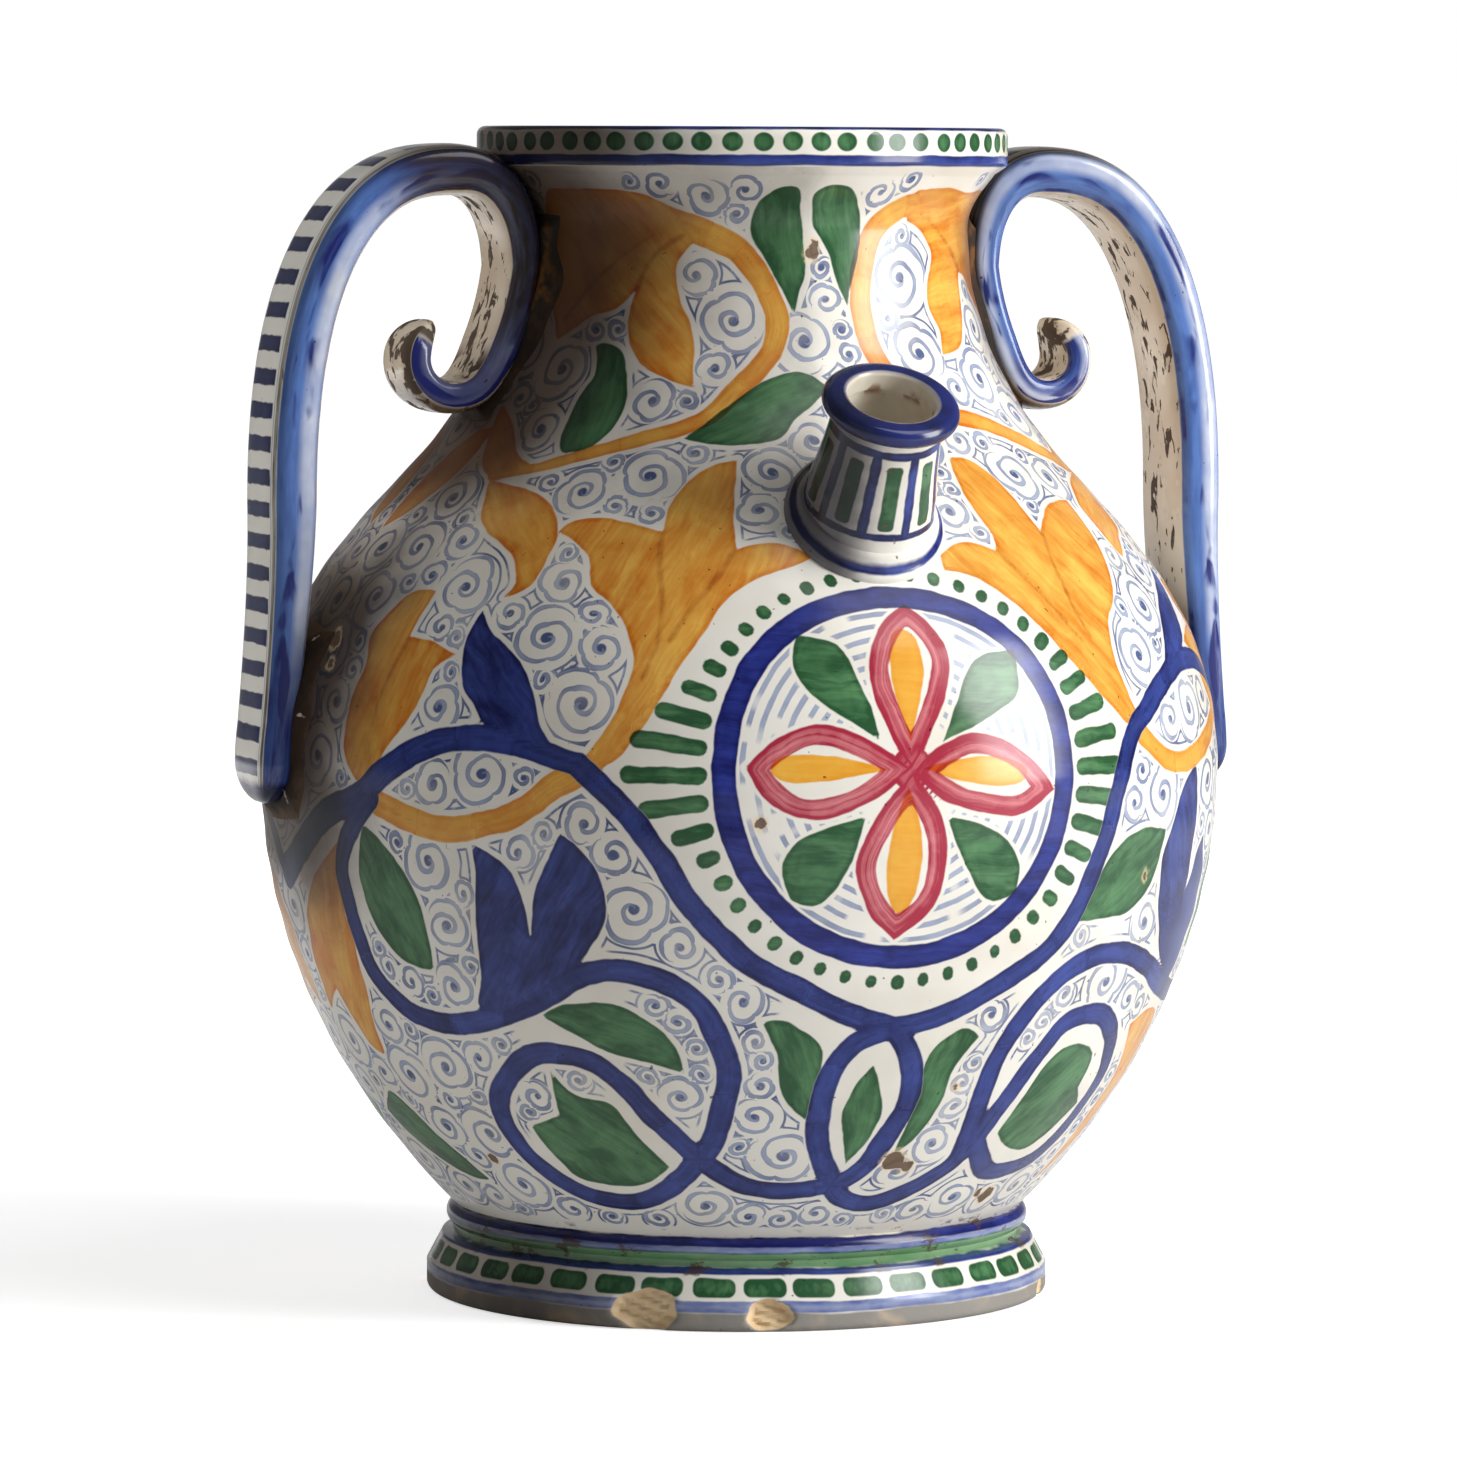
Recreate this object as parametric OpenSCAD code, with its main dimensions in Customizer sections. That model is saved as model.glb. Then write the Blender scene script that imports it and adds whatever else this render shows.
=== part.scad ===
// Majolica amphora: a big-bellied jar with two scrolled strap handles and a short spout on its shoulder.
// It is built as a potter builds it: thrown wall sections stepped into each other, a turned foot ring,
// a thrown spout, and pulled straps that are luted to the neck and the belly with soft clay.
// The front, with the spout, faces -Y, and the handles stand on the X axis.

/* [Jar] */
// Height from the foot's rest to the top of the rim
jar_h = 420; // [405:1:440]
// Thickness of the thrown walls
wall = 8; // [6:0.5:10]
// Outside radius of the belly, the widest place
belly_r = 173; // [160:0.5:185]
// Height of the belly
belly_z = 190; // [180:1:200]
// Outside radius where the shoulder turns from bulging out to curving in
shoulder_r = 121.5; // [115:0.5:128]
// Height of that turn
shoulder_z = 295; // [288:1:302]
// Slope of the wall at that turn, above level
shoulder_slope = 46; // [42:1:50]
// Outside radius of the neck's waist
waist_r = 81; // [76:0.5:86]
// Height of the neck's waist
waist_z = 383; // [378:1:388]
// How far each section laps inside the one above it
lap = 5; // [3:0.5:7]

/* [Curve fullness] */
// Slope of the bowl where it leaves the foot, above level
bowl_slope = 44; // [40:1:50]
// Pull of the bowl's curve at the foot
bowl_low_pull = 56; // [45:1:65]
// Pull of the bowl's curve at the belly
bowl_high_pull = 64; // [55:1:75]
// Pull of the shoulder's curve at the belly
dome_low_pull = 48; // [40:1:56]
// Pull of the shoulder's curve at its turn
dome_high_pull = 40; // [30:1:48]
// Pull of the neck's curve at the shoulder
neck_low_pull = 34; // [26:1:40]
// Pull of the neck's curve below the waist
neck_high_pull = 34; // [26:1:40]

/* [Rim] */
// Outside radius of the throat, just under the rim's band
throat_r = 91; // [87:0.5:93]
// Height of the rim's band, from the throat to the top
rim_h = 16.5; // [13:0.5:20]
// Outside radius of the rim's band
rim_r = 95.5; // [94:0.5:99]
// Radius of the straight mouth inside the rim
mouth_r = 84.5; // [82:0.5:86]
// Rounding of the lip's two edges
lip_round = 3; // [2:0.5:4]
// Height of the chamfer under the band
band_under = 3.5; // [2:0.5:5]
// Pull of the throat's curve
throat_pull = 9; // [6:1:12]

/* [Foot] */
// Height of the joint between foot ring and bowl
foot_h = 32; // [28:0.5:36]
// Outside radius at that joint
foot_joint_r = 102.8; // [98:0.2:108]
// Greatest outside radius of the foot
foot_r = 112.5; // [110:0.5:118]
// Height of the foot's plain bottom edge
foot_edge_h = 10; // [8:0.5:12]
// Rounding of the foot's rest, inside and outside
foot_round = 2.5; // [1.5:0.5:3.5]
// Radius at the top of the flared band
flare_top_r = 107; // [105:0.5:109]
// Height of the top of the flared band
flare_top_z = 20.5; // [19:0.5:22]
// Radius of the hollow over the flared band
hollow_r = 103; // [101:0.5:104.5]
// Radius of the round bead under the bowl
bead_r = 4.5; // [4:0.25:5]
// Radius of the recess under the jar
recess_r = 88; // [80:1:92]
// Depth of the bowl's conical seat in the foot ring
seat_drop = 8; // [6:0.5:9]
// Radius of the flat bottom of the bowl
seat_r = 95; // [93:0.5:98]
// Thickness of the jar's floor
floor_t = 12; // [9:0.5:14]

/* [Spout] */
// Height where the spout's axis leaves the wall
spout_z = 286; // [278:1:294]
// Tilt of the spout's axis, above level
spout_tilt = 59; // [50:1:66]
// Length of the tube, from the wall to its lip
spout_l = 42; // [36:1:48]
// Outside radius of the tube at the wall
spout_base_r = 25; // [23:0.5:27]
// Outside radius of the tube at the lip
spout_top_r = 19; // [18.5:0.5:21]
// Radius of the tube's bore
spout_bore_r = 16.5; // [15.5:0.25:17]
// Radius of the hole through the jar's wall
spout_hole_r = 12; // [9:0.5:14]
// Height of the lip ring
spout_lip_h = 7; // [6:0.5:9]
// Outside radius of the lip ring
spout_lip_r = 24; // [22.5:0.5:26]
// Radius of the bore in the lip ring, which takes a stopper
stopper_r = 15.5; // [14:0.25:16]
// Rounding of the bore's upper edge
stopper_round = 1.5; // [1:0.25:2]
// Outside radius of the collar around the spout's foot
collar_r = 28.5; // [27.5:0.5:31]
// Height of the collar over the wall
collar_h = 3.5; // [3:0.5:5]
// Tilt of the collar's axis, above level
collar_tilt = 47; // [44:1:52]

/* [Handles] */
// Width of the strap
strap_w = 43; // [38:1:47]
// Thickness of the strap's free limb and of its arch
strap_t = 18.5; // [15:0.5:21]
// Thickness of the strap along the belly
foot_strap_t = 13.5; // [11:0.5:16]
// Thickness of the strap along the neck
neck_strap_t = 13; // [11:0.5:15]
// How deep the strap is pressed into the wall's line
bite = 1; // [0.5:0.25:1.5]
// Height of the strap's lower end
strap_end_z = 180; // [174:1:186]
// Height at which the strap leaves the belly
belly_leave_z = 208; // [202:1:214]
// Radius of the free limb at the foot of its arch
limb_r = 172; // [166:1:180]
// Height of the foot of the arch
limb_z = 287; // [278:1:296]
// Radius of the arch's highest point
arch_r = 112; // [108:1:118]
// Height of the arch's highest point, at the strap's middle
arch_z = 404.5; // [398:0.5:409]
// Height at which the strap comes down onto the neck
neck_meet_z = 370; // [364:1:376]
// Height at which the strap leaves the neck
neck_leave_z = 343; // [339:1:347]
// Radius of the scroll's curl, at the strap's middle
curl_r = 13; // [11.5:0.5:14.5]
// Distance of the curl's centre from the jar's axis
curl_axis_r = 113; // [111:0.5:116]
// Height of the curl's centre
curl_z = 337; // [334:0.5:341]
// How far past level the curl turns up at its tip
curl_tip = 75; // [50:1:90]
// Thickness of the strap at the curl's tip
tip_t = 11; // [8:0.5:12.5]
// Width of the strap at the curl's tip
tip_w = 29; // [23:1:36]

/* [Lutes] */
// How far the luting clay spreads past the strap's sides
lute_spread = 7; // [4:0.5:10]
// Height of the luting clay over the wall
lute_t = 4.5; // [3:0.5:6]
// Height up to which the clay fills the wedge over the belly
belly_lute_top = 244; // [234:1:250]
// Height at which the clay on the neck ends below
neck_lute_low = 314; // [308:1:320]
// Height at which the clay on the neck ends above
neck_lute_top = 390; // [384:1:394]

/* [Hidden] */
$fn = 360;

// Places along the wall's outline, counted in curves from the foot: belly 1, shoulder 2, waist 3, throat 4
PER_CURVE = 16;
BELLY = 1;
SHOULDER = 2;
THROAT = 4;
NECK_SEAM = SHOULDER + 1 / 4;
RIM_SEAM = THROAT - 1 / 4;

// The heights of the belly, shoulder, neck, spout and handles are those of a jar this high, and go with jar_h
drawn_h = 420;
function high(z) = z * jar_h / drawn_h;

throat_z = jar_h - rim_h;
// Slope of the wall where it runs into the rim's band, above level
throat_slope = 53;
seat_z = foot_h - seat_drop;
floor_z = seat_z + floor_t;
// Depth to which spout pieces start below the wall's surface before they are trimmed to it
spout_sink = 14;
// Width of the rounded meeting of floor and wall
floor_round = 9;
// Least height between two points of a wall's outline
least_step = 1;
// Pulls of the strap's curve where it leaves the belly, and how far that curve leans in
limb_pull = 26;
limb_lean = 3;
// Pulls of the strap's curve into its scroll, at the neck and at the scroll's lowest point
scroll_neck_pull = 12;
scroll_low_pull = 10;
// Length over which the strap's ends are rounded off
strap_end_l = 15;
SECTION_SIDES = 16;
STRAP_SQUARENESS = 0.42;
ARCH_FULLNESS = 0.84;
BELLY_STEPS = 6;
BELLY_CROWDING = 1.4;
LIMB_STEPS = 9;
ARCH_OUT_STEPS = 14;
ARCH_IN_STEPS = 10;
NECK_STEPS = 4;
SCROLL_STEPS = 6;
CURL_STEPS = 12;
LOWEST = -90;

function unit(v) = v / norm(v);
function along(angle) = [cos(angle), sin(angle)];
function bez(p, t) =
  pow(1 - t, 3) * p[0] + 3 * pow(1 - t, 2) * t * p[1] + 3 * (1 - t) * t * t * p[2] + pow(t, 3) * p[3];
function bez_slope(p, t) =
  3 * pow(1 - t, 2) * (p[1] - p[0]) + 6 * (1 - t) * t * (p[2] - p[1]) + 3 * t * t * (p[3] - p[2]);

// The wall's outside line, in four curves that run smoothly into each other
foot_joint = [foot_joint_r, foot_h];
belly = [belly_r, high(belly_z)];
shoulder = [shoulder_r, high(shoulder_z)];
waist = [waist_r, high(waist_z)];
throat = [throat_r, throat_z];
up = [0, 1];
shoulder_dir = along(180 - shoulder_slope);
CURVES = [
  [foot_joint, foot_joint + bowl_low_pull * along(bowl_slope), belly - bowl_high_pull * up, belly],
  [belly, belly + dome_low_pull * up, shoulder - dome_high_pull * shoulder_dir, shoulder],
  [shoulder, shoulder + neck_low_pull * shoulder_dir, waist - neck_high_pull * up, waist],
  [waist, waist + throat_pull * up, throat - throat_pull * along(throat_slope), throat]
];
function curve_of(u) = min(floor(u), len(CURVES) - 1);
function line_at(u) = bez(CURVES[curve_of(u)], u - curve_of(u));
function slope_at(u) = bez_slope(CURVES[curve_of(u)], u - curve_of(u));
function inward(u) = let (s = unit(slope_at(u))) [-s[1], s[0]];
function skin(u, depth) = line_at(u) + depth * inward(u);
function stations(a, b) =
  concat([a], [for (k = [floor(a * PER_CURVE) + 1 : ceil(b * PER_CURVE) - 1]) k / PER_CURVE], [b]);
function backwards(list) = [for (i = [len(list) - 1 : -1 : 0]) list[i]];
// Where a seam's inner half lies, one lap above its outer half
function lapped(u) = u + lap / norm(slope_at(u));

// Outside radius of the wall at a height
OUTLINE = [for (u = stations(0, THROAT)) line_at(u)];
WALL_RADII = [for (p = OUTLINE) [p[1], p[0]]];
function wall_r(z) = lookup(z, WALL_RADII);

function outer_line(a, b) = [for (u = stations(a, b)) skin(u, 0)];
function inner_line(a, b) = backwards([for (u = stations(lapped(a), lapped(b))) skin(u, wall)]);
function step_up(u) = [skin(u, wall / 2), skin(lapped(u), wall / 2)];

// A thrown section between two seams, each stepped at half the wall
module thrown_section(a, b) {
  rotate_extrude()
    polygon(concat(outer_line(a, b), step_up(b), inner_line(a, b), backwards(step_up(a))));
}

// The jar's outside as one solid, to trim what is luted onto it
module jar_outside() {
  rotate_extrude() polygon(concat(
    [[0, foot_h]], OUTLINE, [[rim_r, throat_z + band_under], [rim_r, jar_h], [0, jar_h]]
  ));
}

function arc(centre, radius, from, to, count = 6) =
  [for (i = [0 : count]) centre + radius * along(from + (to - from) * i / count)];

// Foot ring and jar sections

module foot_ring() {
  bead_top = 65;
  bead_bottom = -60;
  bead_centre = foot_joint - bead_r * along(bead_top);
  color("lightsteelblue") rotate_extrude() polygon(concat(
    [[recess_r, seat_z]],
    arc([recess_r + foot_round, foot_round], foot_round, 180, 270),
    arc([foot_r - foot_round, foot_round], foot_round, 270, 360),
    [[foot_r, foot_edge_h], [flare_top_r, flare_top_z], [hollow_r, flare_top_z + least_step]],
    arc(bead_centre, bead_r, bead_bottom, bead_top, 10),
    [[seat_r, seat_z]]
  ));
}

module lower_bowl() {
  inner = [for (p = inner_line(0, BELLY)) if (p[1] > floor_z + least_step) p];
  floor_edge_r = inner[len(inner) - 1][0] - floor_round;
  color("ivory") rotate_extrude() polygon(concat(
    [[0, seat_z], [seat_r, seat_z]],
    outer_line(0, BELLY),
    step_up(BELLY),
    inner,
    [[floor_edge_r, floor_z], [0, floor_z]]
  ));
}

module shoulder_dome() {
  color("wheat") difference() {
    thrown_section(BELLY, NECK_SEAM);
    at_spout(spout_tilt) translate([0, 0, -spout_sink * 2]) cylinder(r = spout_hole_r, h = spout_sink * 4);
  }
}

module neck_collar() {
  color("orange") thrown_section(NECK_SEAM, RIM_SEAM);
}

module mouth_rim() {
  inner = backwards([for (u = stations(lapped(RIM_SEAM), THROAT)) skin(u, wall)]);
  color("royalblue") rotate_extrude() polygon(concat(
    outer_line(RIM_SEAM, THROAT),
    [[rim_r, throat_z + band_under]],
    arc([rim_r - lip_round, jar_h - lip_round], lip_round, 0, 90),
    arc([mouth_r + lip_round, jar_h - lip_round], lip_round, 90, 180),
    [[mouth_r, inner[0][1] + least_step]],
    inner,
    backwards(step_up(RIM_SEAM))
  ));
}

// Spout

// Stands a shape on the wall's front, its Z axis tilted up from level
module at_spout(tilt) {
  translate([0, -wall_r(high(spout_z)), high(spout_z)]) rotate([90 - tilt, 0, 0]) children();
}

function tube_r(z) = spout_base_r + (spout_top_r - spout_base_r) * z / spout_l;

module spout_tube() {
  color("seagreen") difference() {
    at_spout(spout_tilt) rotate_extrude() polygon([
      [spout_bore_r, -spout_sink], [tube_r(-spout_sink), -spout_sink],
      [spout_top_r, spout_l], [spout_bore_r, spout_l]
    ]);
    jar_outside();
  }
}

module spout_collar() {
  round_r = collar_h / 2;
  color("navy") difference() {
    at_spout(collar_tilt) rotate_extrude() polygon(concat(
      [[0, -spout_sink], [collar_r, -spout_sink]],
      arc([collar_r - round_r, collar_h - round_r], round_r, 0, 90),
      [[0, collar_h]]
    ));
    at_spout(spout_tilt) translate([0, 0, -spout_sink])
      cylinder(r1 = tube_r(-spout_sink), r2 = spout_top_r, h = spout_sink + spout_l);
    jar_outside();
  }
}

module spout_lip() {
  bead = spout_lip_h / 2;
  color("mediumblue") at_spout(spout_tilt) translate([0, 0, spout_l]) rotate_extrude() polygon(concat(
    [[stopper_r, 0]],
    arc([spout_lip_r - bead, bead], bead, -90, 90, 12),
    arc([stopper_r + stopper_round, spout_lip_h - stopper_round], stopper_round, 90, 180)
  ));
}

// Handles

// The strap's middle line as [radius, height], from its lower end to the scroll's tip
function on_wall(z, thick) = wall_r(z) + thick / 2 - bite;
function on_wall_at(z, thick) = [on_wall(z, thick), z];
function between(a, b, t) = a + (b - a) * t;
strap_end = high(strap_end_z);
belly_leave = on_wall_at(high(belly_leave_z), foot_strap_t);
limb = [limb_r, high(limb_z)];
arch = [arch_r, high(arch_z)];
neck_meet = on_wall_at(high(neck_meet_z), neck_strap_t);
neck_leave = on_wall_at(high(neck_leave_z), neck_strap_t);
curl_centre = [curl_axis_r, high(curl_z)];
curl_bottom = curl_centre - curl_r * up;
neck_down = unit(on_wall_at(neck_leave[1] - least_step, neck_strap_t) - neck_leave);
limb_curve = [belly_leave, belly_leave + [-limb_lean, limb_pull], limb - limb_pull * up, limb];
scroll_curve = [
  neck_leave, neck_leave + scroll_neck_pull * neck_down, curl_bottom - [scroll_low_pull, 0], curl_bottom
];
function quarter(foot, from, to, steps) = let (reach = abs(foot[0] - arch[0]), rise = arch[1] - foot[1])
  [for (i = [1 : steps]) let (s = between(from, to, i / steps))
    [arch[0] + reach * swell(cos(s), ARCH_FULLNESS), foot[1] + rise * swell(sin(s), ARCH_FULLNESS)]];

BELLY_RUN = [for (i = [0 : BELLY_STEPS])
  on_wall_at(between(strap_end, belly_leave[1], pow(i / BELLY_STEPS, BELLY_CROWDING)), foot_strap_t)];
LIMB_RUN = [for (i = [1 : LIMB_STEPS]) bez(limb_curve, i / LIMB_STEPS)];
ARCH_RUN = concat(quarter(limb, 0, 90, ARCH_OUT_STEPS), quarter(neck_meet, 90, 180, ARCH_IN_STEPS));
NECK_RUN = [for (i = [1 : NECK_STEPS])
  on_wall_at(between(neck_meet[1], neck_leave[1], i / NECK_STEPS), neck_strap_t)];
CURL_RUN = concat(
  [for (i = [1 : SCROLL_STEPS]) bez(scroll_curve, i / SCROLL_STEPS)],
  arc(curl_centre, curl_r, between(LOWEST, curl_tip, 1 / CURL_STEPS), curl_tip, CURL_STEPS - 1)
);
STRAP_LINE = concat(BELLY_RUN, LIMB_RUN, ARCH_RUN, NECK_RUN, CURL_RUN);
// Places along that line: the end of the belly run, the limb's top, the arch's top and both ends of the neck run
LEAVES_BELLY = len(BELLY_RUN) - 1;
LIMB_TOP = LEAVES_BELLY + len(LIMB_RUN);
ARCH_TOP = LIMB_TOP + ARCH_OUT_STEPS;
MEETS_NECK = LIMB_TOP + len(ARCH_RUN);
LEAVES_NECK = MEETS_NECK + len(NECK_RUN);
LAST = len(STRAP_LINE) - 1;

function blend(a, b, t) = a + (b - a) * min(1, max(0, t));
function part_way(i, from, to) = (i - from) / (to - from);
function strap_t_at(i) =
  i <= LIMB_TOP ? blend(foot_strap_t, strap_t, part_way(i, LEAVES_BELLY, LIMB_TOP)) :
  i <= LEAVES_NECK ? blend(strap_t, neck_strap_t, part_way(i, ARCH_TOP, MEETS_NECK)) :
  blend(neck_strap_t, tip_t, part_way(i, LEAVES_NECK, LAST));
function strap_w_at(i) = blend(strap_w, tip_w, part_way(i, LEAVES_NECK, LAST));
// Rounds a strap's end off: 1 along the strap, falling to a blunt tip
function end_round(distance) = sqrt(max(0.1, 1 - pow(1 - min(1, distance / strap_end_l), 2)));
function tip_factor(line, i) =
  end_round(min(norm(line[i] - line[0]), norm(line[i] - line[len(line) - 1])));
function direction(line, i) =
  unit(line[min(i + 1, len(line) - 1)] - line[max(i - 1, 0)]);
function swell(x, power) = sign(x) * pow(abs(x), power);
function section(t, w, power) = [for (k = [0 : SECTION_SIDES - 1]) let (a = 360 * k / SECTION_SIDES)
  [t / 2 * swell(cos(a), power), w / 2 * swell(sin(a), power)]];

// A solid through rings of SECTION_SIDES points each
module through_rings(rings) {
  n = SECTION_SIDES;
  last = len(rings) - 1;
  points = [for (ring = rings, p = ring) p];
  sides = [for (i = [0 : last - 1], k = [0 : n - 1]) let (m = (k + 1) % n)
    each [[i * n + k, (i + 1) * n + k, i * n + m], [i * n + m, (i + 1) * n + k, (i + 1) * n + m]]];
  first_cap = [for (k = [0 : n - 1]) k];
  last_cap = [for (k = [n - 1 : -1 : 0]) last * n + k];
  polyhedron(points, concat(sides, [first_cap, last_cap]));
}

function strap_ring(i) = let (
    d = direction(STRAP_LINE, i),
    side = [d[1], -d[0]],
    f = tip_factor(STRAP_LINE, i)
  ) [for (s = section(strap_t_at(i) * f, strap_w_at(i) * f, STRAP_SQUARENESS))
    [STRAP_LINE[i][0] + s[0] * side[0], s[1], STRAP_LINE[i][1] + s[0] * side[1]]];

module strap() {
  through_rings([for (i = [0 : LAST]) strap_ring(i)]);
}

// Stands the right-hand shape on the left side too
module on_side(side) {
  mirror([side == "left" ? 1 : 0, 0, 0]) children();
}

module handle(side) {
  color("cornflowerblue") on_side(side) difference() {
    strap();
    jar_outside();
  }
}

// Luting clay: a smear that covers a patch of the wall, with the strap pressed through it

function wall_line(low, top) = concat(
  [[wall_r(low), low]],
  [for (p = OUTLINE) if (p[1] > low + least_step && p[1] < top - least_step) p],
  [[wall_r(top), top]]
);

module smear(low, top) {
  line = wall_line(low, top);
  half_turn = (strap_w / 2 + lute_spread) / wall_r((low + top) / 2) * 180 / PI;
  face = [for (i = [len(line) - 2 : -1 : 1]) line[i] + [lute_t, 0]];
  rotate([0, 0, -half_turn]) rotate_extrude(angle = 2 * half_turn) polygon(concat(line, face));
}

module lute(side, low, top) {
  color("saddlebrown") on_side(side) difference() {
    smear(low, top);
    strap();
  }
}

// Height up to which the strap lies in the smear on the belly, which has to close over it
function in_smear(i) = STRAP_LINE[i][0] - strap_t_at(i) / 2 < wall_r(STRAP_LINE[i][1]) + lute_t;
strap_clear_z = max([for (i = [0 : LIMB_TOP]) if (in_smear(i)) STRAP_LINE[i][1]]) + lute_spread;

module belly_lute(side) {
  lute(side, strap_end - lute_spread, max(high(belly_lute_top), strap_clear_z));
}

module neck_lute(side) {
  lute(side, high(neck_lute_low), high(neck_lute_top));
}

foot_ring();
lower_bowl();
shoulder_dome();
neck_collar();
mouth_rim();
spout_collar();
spout_tube();
spout_lip();
handle("left");  // handle_left
handle("right");  // handle_right
belly_lute("left");  // belly_lute_left
belly_lute("right");  // belly_lute_right
neck_lute("left");  // neck_lute_left
neck_lute("right");  // neck_lute_right
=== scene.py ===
"""Majolica amphora: a thrown jar, glazed and painted by hand, with two scrolled straps and a spout."""

import math

import bpy
import numpy as np
from mathutils import Matrix, Vector


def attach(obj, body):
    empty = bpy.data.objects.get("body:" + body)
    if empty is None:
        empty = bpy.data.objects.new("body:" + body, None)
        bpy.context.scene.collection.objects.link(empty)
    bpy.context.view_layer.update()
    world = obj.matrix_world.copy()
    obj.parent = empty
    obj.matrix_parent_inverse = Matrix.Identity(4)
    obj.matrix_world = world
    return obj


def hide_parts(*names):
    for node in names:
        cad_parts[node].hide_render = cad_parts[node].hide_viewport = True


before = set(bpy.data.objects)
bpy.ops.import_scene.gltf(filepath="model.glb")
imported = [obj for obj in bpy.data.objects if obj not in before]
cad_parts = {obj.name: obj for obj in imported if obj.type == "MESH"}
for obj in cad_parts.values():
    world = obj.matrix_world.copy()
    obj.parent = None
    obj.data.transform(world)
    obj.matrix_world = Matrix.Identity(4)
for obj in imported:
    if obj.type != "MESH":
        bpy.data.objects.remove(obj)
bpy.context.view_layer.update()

MM = 0.001
SEED = 11

# Sizes of the jar, in mm

FOOT_H = 32.0
FOOT_JOINT_R = 102.8
FOOT_R = 112.5
FOOT_TOP_R = 107.0
FOOT_INNER_R = 88.0
FOOT_SEAT_R = 95.0
FOOT_SEAT_Z = 24.0
FOOT_EDGE_H = 10.0
FOOT_FLARE_H = 10.5
FOOT_ROUND = 2.5
FOOT_BEAD_R = 4.5
FLOOR_Z = 36.0
BELLY_R = 173.0
BELLY_Z = 190.0
SHOULDER_R = 121.5
SHOULDER_Z = 295.0
SHOULDER_SLOPE = 46.0
WAIST_R = 81.0
WAIST_Z = 383.0
THROAT_R = 91.0
THROAT_Z = 403.5
THROAT_SLOPE = 53.0
JAR_H = 420.0
WALL = 8.0
LAP = 5.0
RIM_R = 95.5
MOUTH_R = 84.5
LIP_ROUND = 3.0
BAND_UNDER = 3.5
NECK_SEAM = 2.25
RIM_SEAM = 3.75
THROAT = 4.0
SPOUT_Z = 286.0
SPOUT_TILT = 59.0
SPOUT_L = 42.0
SPOUT_BASE_R = 25.0
SPOUT_TOP_R = 19.0
SPOUT_BORE_R = 16.5
SPOUT_LIP_H = 7.0
SPOUT_LIP_R = 24.0
STOPPER_R = 15.5
COLLAR_TILT = 47.0
COLLAR_R = 28.5
COLLAR_H = 3.5
COLLAR_BORE_R = 21.5
STRAP_W = 43.0
STRAP_T = 18.5
FOOT_STRAP_T = 13.5
NECK_STRAP_T = 13.0
STRAP_BITE = 1.0
STRAP_END_Z = 180.0
BELLY_LEAVE_Z = 208.0
LIMB_R = 172.0
LIMB_Z = 287.0
ARCH_R = 112.0
ARCH_Z = 404.5
ARCH_FULLNESS = 0.84
NECK_MEET_Z = 370.0
NECK_LEAVE_Z = 343.0
SCROLL_R = 13.0
SCROLL_AXIS_R = 113.0
SCROLL_Z = 337.0
SCROLL_TIP = 75.0
TIP_W = 29.0
TIP_T = 11.0
STRAP_END_L = 15.0
STRAP_SQUARENESS = 0.55
LUTE_HALF = 28.5
LUTE_THICK = 3.9
LUTE_SINK = 2.0
LUTE_FEATHER = 8.0
BELLY_LUTE = (173.0, 246.0)
NECK_LUTE = (314.0, 390.0)


def along(angle):
    return np.array([math.cos(math.radians(angle)), math.sin(math.radians(angle))])


def bezier(points, t):
    a, b, c, d = points
    return (1 - t) ** 3 * a + 3 * (1 - t) ** 2 * t * b + 3 * (1 - t) * t * t * c + t ** 3 * d


def bezier_slope(points, t):
    a, b, c, d = points
    return 3 * (1 - t) ** 2 * (b - a) + 6 * (1 - t) * t * (c - b) + 3 * t * t * (d - c)


UP = np.array([0.0, 1.0])
foot_joint = np.array([FOOT_JOINT_R, FOOT_H])
belly = np.array([BELLY_R, BELLY_Z])
shoulder = np.array([SHOULDER_R, SHOULDER_Z])
waist = np.array([WAIST_R, WAIST_Z])
throat = np.array([THROAT_R, THROAT_Z])
shoulder_way = along(180 - SHOULDER_SLOPE)
WALL_CURVES = [
    (foot_joint, foot_joint + 56 * along(44), belly - 64 * UP, belly),
    (belly, belly + 48 * UP, shoulder - 40 * shoulder_way, shoulder),
    (shoulder, shoulder + 34 * shoulder_way, waist - 34 * UP, waist),
    (waist, waist + 9 * UP, throat - 9 * along(THROAT_SLOPE), throat),
]


def wall_point(u, depth=0.0):
    """A point of the wall's outline in (radius, height), u counted in curves, depth mm under the skin."""
    k = min(int(u), 3)
    slope = bezier_slope(WALL_CURVES[k], u - k)
    slope = slope / np.linalg.norm(slope)
    return bezier(WALL_CURVES[k], u - k) + depth * np.array([-slope[1], slope[0]])


def lapped(u):
    k = min(int(u), 3)
    return u + LAP / np.linalg.norm(bezier_slope(WALL_CURVES[k], u - k))


def run_lengths(line):
    """How far along a line of points each of them lies."""
    return np.concatenate([[0], np.cumsum(np.linalg.norm(np.diff(line, axis=0), axis=1))])


def wall_run(start, end, spacing, depth=0.0):
    """Points of the wall's outline from start to end, evenly spaced along it."""
    fine = np.array([wall_point(u, depth) for u in np.linspace(start, end, 400)])
    length = run_lengths(fine)
    stops = np.linspace(0, length[-1], max(2, int(round(length[-1] / spacing)) + 1))
    return np.stack([np.interp(stops, length, fine[:, 0]), np.interp(stops, length, fine[:, 1])], axis=1)


OUTLINE = wall_run(0, THROAT, 0.5)
ARC_LENGTH = run_lengths(OUTLINE)


def wall_r(z):
    return np.interp(z, OUTLINE[:, 1], OUTLINE[:, 0])


def wall_arc(z):
    return np.interp(z, OUTLINE[:, 1], ARC_LENGTH)


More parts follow.
